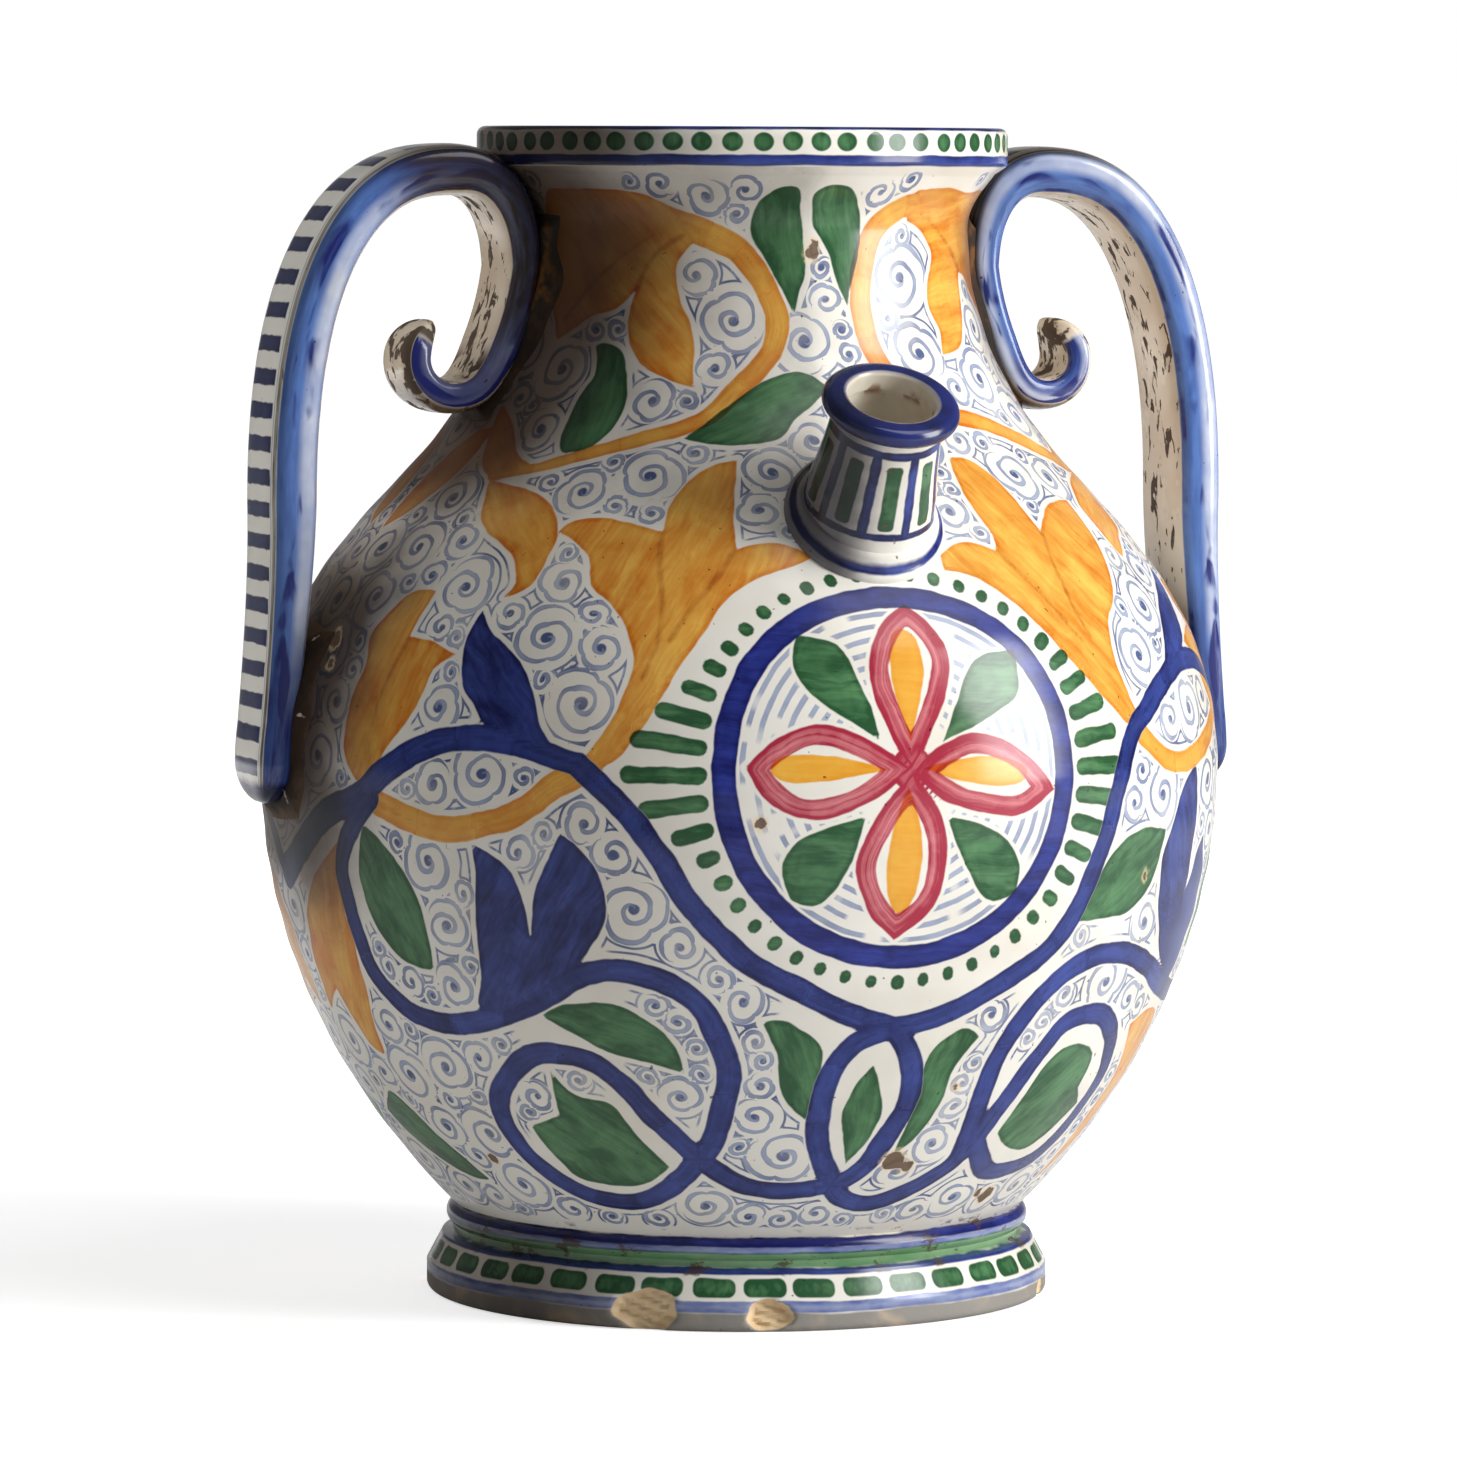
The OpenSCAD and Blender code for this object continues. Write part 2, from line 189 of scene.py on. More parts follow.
def height_at(length):
    return np.interp(length, ARC_LENGTH, OUTLINE[:, 1])


def around(r, angle, z):
    """Places around the jar's axis, the angle counted from its front to the right."""
    return np.stack([r * np.sin(angle), -r * np.cos(angle), z], axis=1)


def bearing(points):
    return np.arctan2(points[:, 0], -points[:, 1])


def off_axis(points):
    return np.hypot(points[:, 0], points[:, 1])


def half_turn(degrees):
    """The same directions, in degrees from -180 to 180."""
    return (degrees + 180) % 360 - 180


def pushed(points, out):
    """Moves each point away from the jar's axis, by so many mm."""
    factor = 1 + out / np.maximum(off_axis(points), 1)
    return points * np.stack([factor, factor, np.ones(len(factor))], axis=1)


# Node trees


class Value:
    """A number, colour or vector that comes out of a node."""

    def __init__(self, sheet, socket):
        self.sheet = sheet
        self.socket = socket

    def __add__(self, other):
        return self.sheet.math("ADD", self, other)

    def __radd__(self, other):
        return self.sheet.math("ADD", other, self)

    def __sub__(self, other):
        return self.sheet.math("SUBTRACT", self, other)

    def __rsub__(self, other):
        return self.sheet.math("SUBTRACT", other, self)

    def __mul__(self, other):
        return self.sheet.math("MULTIPLY", self, other)

    def __rmul__(self, other):
        return self.sheet.math("MULTIPLY", other, self)

    def __truediv__(self, other):
        return self.sheet.math("DIVIDE", self, other)

    def __rtruediv__(self, other):
        return self.sheet.math("DIVIDE", other, self)

    def __neg__(self):
        return self.sheet.math("MULTIPLY", self, -1.0)

    def __abs__(self):
        return self.sheet.math("ABSOLUTE", self)


class Sheet:
    """A node tree, with the one way in which nodes are added to it."""

    def __init__(self, tree):
        self.tree = tree

    def node(self, kind, settings=None, inputs=None):
        made = self.tree.nodes.new(kind)
        for key, value in (settings or {}).items():
            setattr(made, key, value)
        for key, value in (inputs or {}).items():
            if isinstance(value, Value):
                self.tree.links.new(value.socket, made.inputs[key])
            else:
                made.inputs[key].default_value = value
        return made

    def out(self, kind, settings=None, inputs=None, output=0):
        return Value(self, self.node(kind, settings, inputs).outputs[output])

    def math(self, operation, *values):
        return self.out("ShaderNodeMath", {"operation": operation}, dict(enumerate(values)))

    def vector(self, operation, *values):
        return self.out("ShaderNodeVectorMath", {"operation": operation}, dict(enumerate(values)))

    def low(self, a, b):
        return self.math("MINIMUM", a, b)

    def high(self, a, b):
        return self.math("MAXIMUM", a, b)

    def hypot(self, a, b):
        return self.math("SQRT", a * a + b * b)

    def split(self, vector):
        made = self.node("ShaderNodeSeparateXYZ", None, {0: vector})
        return [Value(self, socket) for socket in made.outputs]

    def join(self, x, y, z):
        return self.out("ShaderNodeCombineXYZ", None, {0: x, 1: y, 2: z})

    def fade(self, value, start, end):
        """0 up to start, 1 from end on, smooth between."""
        settings = {"interpolation_type": "SMOOTHSTEP"}
        return self.out("ShaderNodeMapRange", settings, {0: value, 1: start, 2: end, 3: 0.0, 4: 1.0})

    def between(self, value, start, full, fall, end):
        """1 from full to fall, 0 outside start and end, smooth between."""
        return self.fade(value, start, full) * self.fade(value, end, fall)

    def mix(self, factor, a, b, blend="MIX"):
        settings = {"data_type": "RGBA", "blend_type": blend}
        return self.out("ShaderNodeMix", settings, {0: factor, 6: a, 7: b}, 2)

    def tint(self, mask, ground, colour):
        """Lays a translucent colour over the ground where the mask is."""
        return self.mix(mask, ground, colour, "MULTIPLY")

    def noise(self, place, scale, detail=2.0, rough=0.5, bend=0.0):
        inputs = {"Vector": place, "Scale": scale, "Detail": detail, "Roughness": rough}
        inputs["Distortion"] = bend
        return self.out("ShaderNodeTexNoise", None, inputs)

    def number(self, name):
        return self.out("ShaderNodeAttribute", {"attribute_name": name}, output="Fac")

    def triple(self, name):
        return self.out("ShaderNodeAttribute", {"attribute_name": name}, output="Vector")

    def stretched(self, place, x, y, z):
        return self.vector("MULTIPLY", place, (x, y, z))


def finish_sheet(name):
    """A new material, the sheet of its nodes, and the place on the piece that they read."""
    material = bpy.data.materials.new(name)
    material.use_nodes = True
    material.node_tree.nodes.clear()
    sheet = Sheet(material.node_tree)
    return material, sheet, sheet.out("ShaderNodeTexCoord", output="Object")


def close_sheet(sheet, colour, roughness, relief, bump=0.4, depth=0.0004, shine=0.5):
    normal = sheet.out("ShaderNodeBump", None, {"Strength": bump, "Distance": depth, "Height": relief})
    inputs = {"Base Color": colour, "Roughness": roughness, "Normal": normal, "IOR": 1.5}
    inputs["Specular IOR Level"] = shine
    shader = sheet.out("ShaderNodeBsdfPrincipled", None, inputs)
    sheet.node("ShaderNodeOutputMaterial", None, {"Surface": shader})


# Colours in linear light. A paint's colour is the share of light that it leaves of the white under it

TIN_WHITE = (0.80, 0.77, 0.70, 1)
TIN_CREAM = (0.70, 0.65, 0.55, 1)
ORANGE_THIN = (1.0, 0.59, 0.12, 1)
ORANGE_THICK = (0.72, 0.20, 0.01, 1)
VEIN_BROWN = (0.50, 0.26, 0.10, 1)
YELLOW_THIN = (1.0, 0.56, 0.09, 1)
YELLOW_THICK = (0.92, 0.40, 0.03, 1)
GREEN_THIN = (0.14, 0.36, 0.17, 1)
GREEN_THICK = (0.025, 0.11, 0.045, 1)
FOOT_GREEN = (0.28, 0.50, 0.28, 1)
BLUE_THIN = (0.055, 0.095, 0.46, 1)
BLUE_THICK = (0.007, 0.012, 0.12, 1)
COBALT_THIN = (0.037, 0.062, 0.45, 1)
COBALT_THICK = (0.009, 0.014, 0.16, 1)
STRAP_THIN = (0.12, 0.25, 0.70, 1)
STRAP_THICK = (0.016, 0.024, 0.20, 1)
BAR_NAVY = (0.014, 0.02, 0.10, 1)
PINK_THIN = (0.92, 0.36, 0.42, 1)
PINK_THICK = (0.46, 0.03, 0.075, 1)
LINE_THIN = (0.42, 0.50, 0.74, 1)
LINE_THICK = (0.09, 0.13, 0.33, 1)
STRAP_HIGHLIGHT_LILAC = (0.70, 0.77, 0.98, 1)
STRAP_CREAM = (0.76, 0.67, 0.54, 1)
STRAP_TAN = (0.62, 0.50, 0.36, 1)
SEAM_AND_SHADE_OLIVE = (0.11, 0.085, 0.05, 1)
CLAY_BUFF = (0.80, 0.61, 0.37, 1)
CLAY_SAND = (0.64, 0.45, 0.26, 1)
CLAY_GREY = (0.16, 0.145, 0.13, 1)
SCAR_BROWN = (0.10, 0.05, 0.025, 1)
SCAR_AND_SHADE_BLACK = (0.03, 0.018, 0.012, 1)
STAIN_AND_SHADE_BROWN = (0.07, 0.036, 0.02, 1)
SMEAR_AND_SHADE_BROWN = (0.10, 0.06, 0.038, 1)
SHADE_NAVY = (0.07, 0.06, 0.09, 1)
INSIDE_TAN = (0.52, 0.42, 0.30, 1)
BORE_TAN = (0.60, 0.50, 0.38, 1)
BORE_RUST = (0.22, 0.09, 0.03, 1)
LUTE_AND_SHADE_BLACK = (0.02, 0.014, 0.010, 1)
LUTE_BROWN = (0.055, 0.028, 0.015, 1)
LUTE_AMBER = (0.22, 0.09, 0.02, 1)

# The painted face, as points in degrees right of its middle and mm above the rest. TIP is a sharp corner

TIP = 1

BLUE_VINES = [
    (4.3, 4.3, [(-38, 203), (-32.5, 188), (-28.5, 173), (-25, 156), (-21, 143), (-17.5, 134), (-12, 126),
                (-6.5, 118), (0, 111.5), (2.5, 104.5), (4.5, 93), (4.5, 81), (3, 71), (1, 61),
                (-2, 54.5), (-6.5, 52), (-12, 51), (-17.5, 52.5), (-21, 56), (-24, 61), (-27, 68),
                (-31, 78), (-35, 91), (-39, 99), (-43.5, 101), (-47.5, 99.5), (-52, 91), (-55, 81),
                (-55.5, 71), (-53, 59), (-48.5, 50), (-42.5, 46), (-36.5, 46), (-31, 51), (-26, 61),
                (-23, 71), (-21.5, 83), (-20.5, 96), (-22, 109.5), (-24, 120), (-28, 128), (-33, 132),
                (-38, 130.5), (-42, 124.5), (-46.5, 118), (-52.5, 112), (-58.5, 109), (-65, 111),
                (-70, 120), (-72, 131), (-73, 146), (-73.5, 160), (-72, 171.5), (-67, 187)]),
    (4.2, 4.2, [(0, 111.5), (5, 114), (10.5, 120), (16, 128), (20.5, 136), (24, 148), (26.5, 163),
                (28.5, 176), (30, 188), (32, 201.5), (34.5, 212), (38.5, 219), (43, 226), (50, 232),
                (55, 232.5), (60.5, 230), (66, 222), (72, 208), (79, 190), (84, 176), (88, 163),
                (90, 155)]),
    (4.2, 4.2, [(0, 111.5), (-4.5, 106), (-7, 96), (-8, 83), (-7.5, 69), (-5, 57.5), (-2, 48.5), (3, 45),
                (8, 47), (13, 52.5), (17, 60), (17, 73), (16.5, 86), (17, 99.5), (19, 111), (22.5, 123),
                (27, 130.5), (31.5, 133), (36, 132), (41, 128), (45.5, 123), (50.5, 117), (54.5, 114.5),
                (60, 112), (66, 114), (71, 122), (73, 134), (74, 148), (73, 162), (69, 178)]),
    (4.2, 4.2, [(17, 60), (19, 66), (21.5, 83), (24, 96), (27, 108), (31, 111), (35.5, 109.5), (40, 101),
                (43, 89.5), (43, 76), (41, 64), (37, 56), (31.5, 53.5), (26, 54), (21.5, 61), (19, 68)]),
    (4.0, 6.0, [(-38, 203), (-45, 208.5), (-50, 210.5), (-55, 209.5), (-59.5, 205), (-64, 198),
                (-67, 191.5), (-70, 186), (-75, 181), (-80, 172.5), (-85, 163), (-90, 155)]),
]

BLUE_LEAVES = [
    [(-54, 253, TIP), (-51.5, 246), (-48, 240), (-45.5, 233), (-44, 224), (-42.5, 214),
     (-39.5, 204, TIP), (-46, 209), (-50, 215), (-52, 222), (-54, 228), (-55, 237), (-55, 245)],
    [(-51.5, 174, TIP), (-47, 167), (-45.3, 157), (-44.5, 143, TIP), (-44, 153), (-43, 163),
     (-41.3, 172), (-40, 179, TIP), (-36.8, 171), (-35, 160), (-35.2, 148), (-38, 136), (-43.5, 123),
     (-49, 114, TIP), (-53.5, 116), (-52.3, 126), (-52, 138), (-51.8, 150), (-51.2, 161)],
    [(50, 195, TIP), (46.5, 191), (43, 177), (41, 165), (41.5, 150), (44, 136), (48, 125),
     (54, 114.5, TIP), (57, 130), (58, 150), (56, 164), (55, 170, TIP), (52.5, 163), (50.5, 152),
     (50, 146, TIP), (50, 158), (50.5, 172), (51, 184)],
    [(62, 264, TIP), (57, 258), (52, 250), (48, 240), (44.5, 227, TIP), (51, 233), (56, 239), (60, 248),
     (62, 257)],
]

ORANGE_STEMS = [
    (5.0, 2.2, [(-36, 386), (-30, 383.5), (-25, 380.5), (-20, 376.5), (-16, 370), (-13, 362), (-11, 353),
                (-12, 344), (-15, 337), (-20, 329), (-25, 320.5), (-30, 316), (-40, 310.5), (-50, 305),
                (-57, 301), (-66, 298)]),
    (4.8, 3.2, [(33, 392), (27, 393), (22, 391), (17, 386), (13.5, 378), (11.5, 368), (10.5, 357),
                (11, 347), (13, 337), (17, 328.5), (23, 321.5), (30.5, 318), (36, 316), (41.5, 313),
                (49.5, 308), (55, 305), (66, 299)]),
    (4.5, 4.5, [(-67, 187), (-60.5, 181), (-55, 178.5), (-50, 181), (-45, 186), (-41, 195),
                (-36.5, 202)]),
    (3.8, 4.0, [(36, 209), (41, 200), (46.5, 198), (52, 201), (58, 206), (64, 214), (67, 222)]),
]

ORANGE_LEAVES = [
    [(-37.5, 205, TIP), (-34.5, 217), (-32.5, 232), (-32.5, 242), (-34, 250), (-36.5, 257), (-39.5, 263),
     (-41, 272), (-43.5, 276.5), (-47, 280, TIP), (-45, 284), (-40, 285), (-35, 283), (-31, 281, TIP),
     (-30, 292), (-26, 301), (-20, 305, TIP), (-20.5, 292), (-20, 275, TIP), (-17.5, 277), (-14, 277.5),
     (-9, 273, TIP), (-12, 270), (-17, 266), (-19.5, 262), (-22, 256), (-24.5, 245), (-26.5, 237),
     (-29.5, 221), (-33, 207), (-35.5, 202, TIP)],
    [(-66, 296, TIP), (-55, 293), (-50, 288), (-47, 280), (-47, 272.5), (-48, 262), (-51.5, 258, TIP),
     (-50.5, 263), (-52.5, 270.5), (-55.5, 275), (-59.5, 279), (-63, 285)],
    [(-26, 386, TIP), (-31, 388.5), (-36, 391.5), (-40, 394), (-45, 397), (-60, 398), (-74, 396),
     (-78, 380), (-74, 364), (-70, 352), (-67, 345, TIP), (-62, 349), (-57, 353.5), (-51, 356),
     (-46, 363, TIP), (-47, 352), (-45.5, 344), (-42, 337.5), (-36, 332.5), (-28.5, 328, TIP),
     (-30, 335), (-30, 343), (-31.5, 351), (-34.5, 360), (-36, 368), (-35.5, 373), (-32.5, 378, TIP)],
    [(26, 398, TIP), (38, 399), (49.5, 397), (60, 398), (74, 396), (78, 380), (74, 364), (67, 350, TIP),
     (61, 357), (55, 366), (50, 369, TIP), (48, 358), (44.5, 348), (40, 342), (32.5, 340, TIP),
     (34, 348), (32, 358), (35, 371), (36, 376), (32, 383), (26, 387, TIP)],
    [(34.5, 212, TIP), (32.5, 214), (29, 224), (25, 236), (21.5, 248), (18, 258), (14, 265),
     (9.5, 268, TIP), (9.5, 273, TIP), (14.5, 277), (19.5, 273.5, TIP), (20.5, 279), (19.5, 293),
     (21, 305, TIP), (26.5, 303), (30, 293), (31, 279, TIP), (34, 283.5), (38.5, 288), (46, 289, TIP),
     (45, 279), (43.5, 269), (39, 256), (35, 248), (33.5, 236), (34.5, 222), (36, 215, TIP)],
    [(49.5, 287, TIP), (54.5, 294), (60, 296), (68, 297, TIP), (62, 281), (55, 274), (50.5, 268, TIP),
     (49, 277)],
    [(44.5, 104, TIP), (50, 108), (55, 106), (58, 95), (57, 75), (53, 58), (47, 44, TIP), (48.5, 60),
     (50, 78), (48.5, 92)],
]

ORANGE_FAR_LEAVES = [
    [(-70.5, 250), (-67.5, 258), (-63, 259, TIP), (-64.5, 243, TIP), (-60.5, 242), (-56, 238, TIP),
     (-59, 233), (-59.5, 226), (-61, 217), (-64, 207), (-66, 198), (-69, 191, TIP), (-71.5, 199),
     (-72.5, 207), (-72, 221), (-71, 233), (-72, 242)],
    [(-73, 172, TIP), (-80, 158), (-84.5, 145), (-87, 128), (-88, 106, TIP), (-85.5, 111),
     (-83, 116, TIP), (-81, 106), (-79.5, 97), (-76, 93, TIP), (-75.5, 103), (-74.5, 116), (-74, 135),
     (-74.5, 151)],
    [(-57, 301, TIP), (-64, 306), (-70, 316), (-77, 322, TIP), (-74, 308), (-70, 300), (-64, 297)],
    [(-75, 313, TIP), (-80, 312), (-85, 304), (-87.5, 291), (-86.5, 278, TIP), (-82.5, 283), (-79, 290),
     (-76, 300)],
]

# Strokes between the petals of the orange leaves
ORANGE_VEINS = [
    [(-31, 280), (-30.5, 270), (-29.5, 258), (-29.5, 245), (-31, 232)],
    [(-20.5, 274), (-22.5, 266), (-25.5, 256), (-28, 245)],
    [(-46, 362), (-44, 370), (-40, 377), (-34, 382)],
    [(-66, 352), (-60, 363), (-52, 373), (-42, 382)],
    [(50, 370), (46, 376), (41, 382), (34, 388)],
    [(31, 278), (29.5, 268), (29, 256), (30, 243)],
    [(20, 273), (22, 266), (25, 255), (28, 243)],
    [(-64.5, 242), (-65.5, 234), (-66.5, 224), (-67.5, 212)],
    [(64.5, 242), (65.5, 234), (66.5, 224), (67.5, 212)],
]

GREEN_LEAVES = [
    [(-6, 398), (-10.5, 399), (-15, 394), (-17, 387), (-17, 381), (-14, 374), (-10.5, 365),
     (-7, 355, TIP), (-5, 363), (-3.5, 369), (-4, 380), (-5, 389)],
    [(-2.5, 396), (0, 399.5), (5.5, 399.5), (9.5, 394), (11.5, 387), (11, 378), (9, 368), (7, 357, TIP),
     (5, 364), (3.5, 373), (0.5, 381), (-1.5, 385), (-2, 391)],
    [(-54.5, 343, TIP), (-51.5, 344), (-46.5, 340), (-43.5, 325), (-44.5, 315), (-48, 308.5),
     (-52.5, 306, TIP), (-55, 310), (-55, 325), (-52.5, 333)],
    [(-30, 312, TIP), (-24.5, 320), (-19, 327), (-14, 332), (-8.5, 334.5), (-4.5, 333.5),
     (-0.5, 329, TIP), (-5, 323), (-8.5, 319), (-12, 312.5), (-17.5, 310), (-24.5, 310)],
    [(-44.5, 114.5, TIP), (-41, 119), (-35, 120), (-31, 115), (-27.5, 106), (-26.5, 96, TIP),
     (-31.5, 99.5), (-36.5, 103), (-41, 109.5)],
    [(-45, 94.5, TIP), (-42, 86), (-37, 83), (-34, 71), (-30, 60, TIP), (-35, 52.5), (-41, 52),
     (-46, 54), (-49, 63), (-51, 73, TIP), (-45.5, 78, TIP)],
    [(-16.5, 114.5, TIP), (-13, 114.5), (-9, 106), (-8.5, 99.5), (-9.5, 78, TIP), (-12.5, 84), (-14, 93),
     (-14.5, 103)],
    [(-1.5, 98, TIP), (-4, 88), (-4.5, 78), (-2.5, 61, TIP), (0, 70), (1, 80), (0, 90)],
    [(13, 107, TIP), (10, 110), (6.5, 103), (5.5, 89.5), (5.5, 76), (5, 64, TIP), (8, 71), (10, 83),
     (10.5, 96)],
    [(41, 175, TIP), (35.5, 176.5), (31, 171.5), (27.5, 160), (25, 146, TIP), (30, 146), (35, 147.5),
     (38.5, 156), (40.5, 168)],
    [(23, 69, TIP), (25, 83), (26.5, 93), (30, 100), (35.5, 98), (37.5, 93), (37.5, 83, TIP),
     (40.5, 76, TIP), (37, 67), (32.5, 61), (27, 63)],
    [(-3, 211, TIP), (-7, 219), (-11, 227), (-13, 237), (-12.5, 247, TIP), (-7.5, 244), (-5.5, 233),
     (-4, 222)],
    [(4.5, 211, TIP), (7, 226), (10, 238), (16, 241, TIP), (15.5, 227), (12.5, 221)],
    [(-5, 186, TIP), (-11.5, 180), (-14.5, 171), (-13.5, 158, TIP), (-10, 156), (-7, 168)],
    [(5, 185, TIP), (10.5, 181), (14.5, 170), (14.5, 158, TIP), (10.5, 156), (7, 171)],
]

GREEN_FAR_LEAVES = [
    [(-68.5, 178, TIP), (-70, 160), (-68.5, 143), (-65, 131), (-59.5, 128, TIP), (-59.5, 143),
     (-61, 158), (-64.5, 170)],
    [(-87.5, 70, TIP), (-85, 74), (-81, 79), (-77.5, 74), (-74, 66), (-66.5, 49, TIP), (-71.5, 49),
     (-78, 54), (-83.5, 61)],
]

PETALS = [
    [(0.5, 202, TIP), (-2.5, 217), (-4, 235), (-2, 249), (2, 257, TIP), (5.5, 248), (6.5, 235),
     (3.5, 216)],
    [(0.5, 202, TIP), (-5, 213), (-10.5, 217.5), (-15, 213), (-19, 203, TIP), (-15.5, 190), (-10.5, 185),
     (-4.5, 191)],
    [(0.5, 201, TIP), (4.5, 210), (9, 213.5), (15, 207), (19.5, 193, TIP), (16, 186), (12.5, 184.5),
     (5, 190)],
    [(0.5, 201, TIP), (-3.5, 187), (-6, 170), (-4.5, 154), (-1, 143, TIP), (3.5, 154), (5, 169),
     (4, 186)],
]

PETAL_CORES = [
    [(0.5, 212, TIP), (-0.8, 225), (-1.2, 237), (-0.6, 246), (1, 249), (2.6, 246), (3, 237), (2, 225)],
    [(-2, 202, TIP), (-7, 205.5), (-12, 207.5), (-15, 206), (-16, 202.5), (-15, 199), (-12, 197.5),
     (-7, 199.5)],
    [(1.5, 202, TIP), (6, 204.5), (11, 205.5), (14.5, 203), (15.5, 199.5), (14.5, 196), (11, 195),
     (6, 198)],
    [(0, 196, TIP), (-1.6, 183), (-2.4, 170), (-2, 158), (-0.5, 152), (1.2, 158), (1.8, 170),
     (1.4, 183)],
]

# The white ground around the medallion, which has no curls
RESERVE = [
    (-36, 202), (-33, 215), (-30, 228), (-27, 240), (-23, 250), (-18, 262), (-12, 270), (-9, 273),
    (0, 271), (9, 270), (14, 265), (18, 258), (22, 248), (26, 236), (30, 223), (33, 213), (33, 205),
    (31, 193), (28, 176), (25, 158), (21, 142), (14, 128), (6, 117), (0, 112), (-6, 118), (-14, 130),
    (-21, 143), (-25, 156), (-29, 174), (-33, 190),
]

MEDALLION_Z = 200.0
RING_R = 63.7
RING_HALF = 4.3
PINK_BAND = 7.0
CROSSING_R = 7.5
VEIN_HALVES = (0.9, 0.4)
DASHES = 48
DASH_START_R = 72.5
DASH_SHORT = 1.0
DASH_HALF = 2.2
DASH_SWELL = 0.9
DASH_SWELL_SPREAD = 30
HATCH_PITCH = 4.6
RIM_DOTS = 58
FOOT_DASHES = 38

# How much longer the dashes beside the medallion are, in mm, and within how many degrees of its level
RIGHT_DASHES = (17, 26)
UPPER_LEFT_DASHES = (23, 20)
LOWER_LEFT_DASHES = (23, 15)

FOLIAGE = [
    ("blue", BLUE_VINES, BLUE_LEAVES, []),
    ("orange", ORANGE_STEMS, ORANGE_LEAVES, ORANGE_FAR_LEAVES),
    ("green", [], GREEN_LEAVES, GREEN_FAR_LEAVES),
]

# Places where the glaze is gone: degrees, height, radius
SCARS = [
    (5.5, 61.5, 4.5), (8, 59, 2.5), (31, 43.5, 3.5), (28, 45, 2), (11.5, 88.5, 1.6), (-2, 376, 2.6),
    (-1.5, 379, 1.8), (-17, 184, 1.8), (37, 160, 1.6), (-62, 58, 2.2), (-80, 240, 3.5), (-79, 232, 2),
    (112, 70, 4), (151, 130, 2.4), (-141, 52, 3.5), (-164, 211, 1.8), (94, 262, 2.5), (73, 48, 2.5),
    (176, 300, 2), (130, 340, 1.8),
]

# Chips in the foot's edge: degrees, height, half width, half height
CHIPS = [(-36, 7, 13, 8), (-13.5, 6, 9, 6), (58, 3, 6, 4), (141, 6, 10, 6), (-118, 4, 7, 5)]
CHIP_DEPTH = 4.2
CHIP_R = 112

# For drawing: mm per degree on the belly, and the length of a line's steps in mm
DEGREE_MM = 2.6
LINE_STEP = 2.5

# A gap that stands for far away, in mm
FAR = 20.0


def smooth_line(points, closed):
    """A curve through the points, bent everywhere but at the tips, as an array of (degrees, height)."""
    place = np.array([p[:2] for p in points], float)
    tips = [len(p) > 2 for p in points]
    count = len(points)
    made = []
    for i in range(count if closed else count - 1):
        j = (i + 1) % count
        before = place[i - 1] if closed or i > 0 else place[i]
        after = place[(j + 1) % count] if closed or j + 1 < count else place[j]
        chord = place[j] - place[i]
        leave = chord if tips[i] else (place[j] - before) / 2
        arrive = chord if tips[j] else (after - place[i]) / 2
        if tips[i] and not tips[j]:
            leave = 1.5 * chord - 0.5 * arrive
        if tips[j] and not tips[i]:
            arrive = 1.5 * chord - 0.5 * leave
        steps = max(2, int(np.hypot(chord[0] * DEGREE_MM, chord[1]) / LINE_STEP))
        t = np.linspace(0, 1, steps, endpoint=False)[:, None]
        made.append((2 * t ** 3 - 3 * t ** 2 + 1) * place[i] + (t ** 3 - 2 * t ** 2 + t) * leave
                    + (3 * t ** 2 - 2 * t ** 3) * place[j] + (t ** 3 - t ** 2) * arrive)
    if not closed:
        made.append(place[-1:])
    return np.concatenate(made)


def on_wall(line):
    """The places on the jar's surface, in mm, of points in degrees and height."""
    return around(wall_r(line[:, 1]), np.radians(line[:, 0]), line[:, 1])


def line_distance(points, line, widths):
    """Least distance of each point from a line of segments, less the line's half width there."""
    least = np.full(len(points), 1e3)
    for a, b, wa, wb in zip(line[:-1], line[1:], widths[:-1], widths[1:]):
        run = b - a
        t = np.clip((points - a) @ run / max(run @ run, 1e-9), 0, 1)
        gap = np.linalg.norm(points - a - t[:, None] * run, axis=1) - (wa + (wb - wa) * t)
        np.minimum(least, gap, out=least)
    return least


def encloses(line, theta, z):
    """Which of the points lie inside a closed line."""
    inside = np.zeros(len(theta), bool)
    for (ta, za), (tb, zb) in zip(line, np.roll(line, -1, axis=0)):
        crosses = (za > z) != (zb > z)
        if za != zb:
            inside ^= crosses & (theta < (tb - ta) * (z - za) / (zb - za) + ta)
    return inside


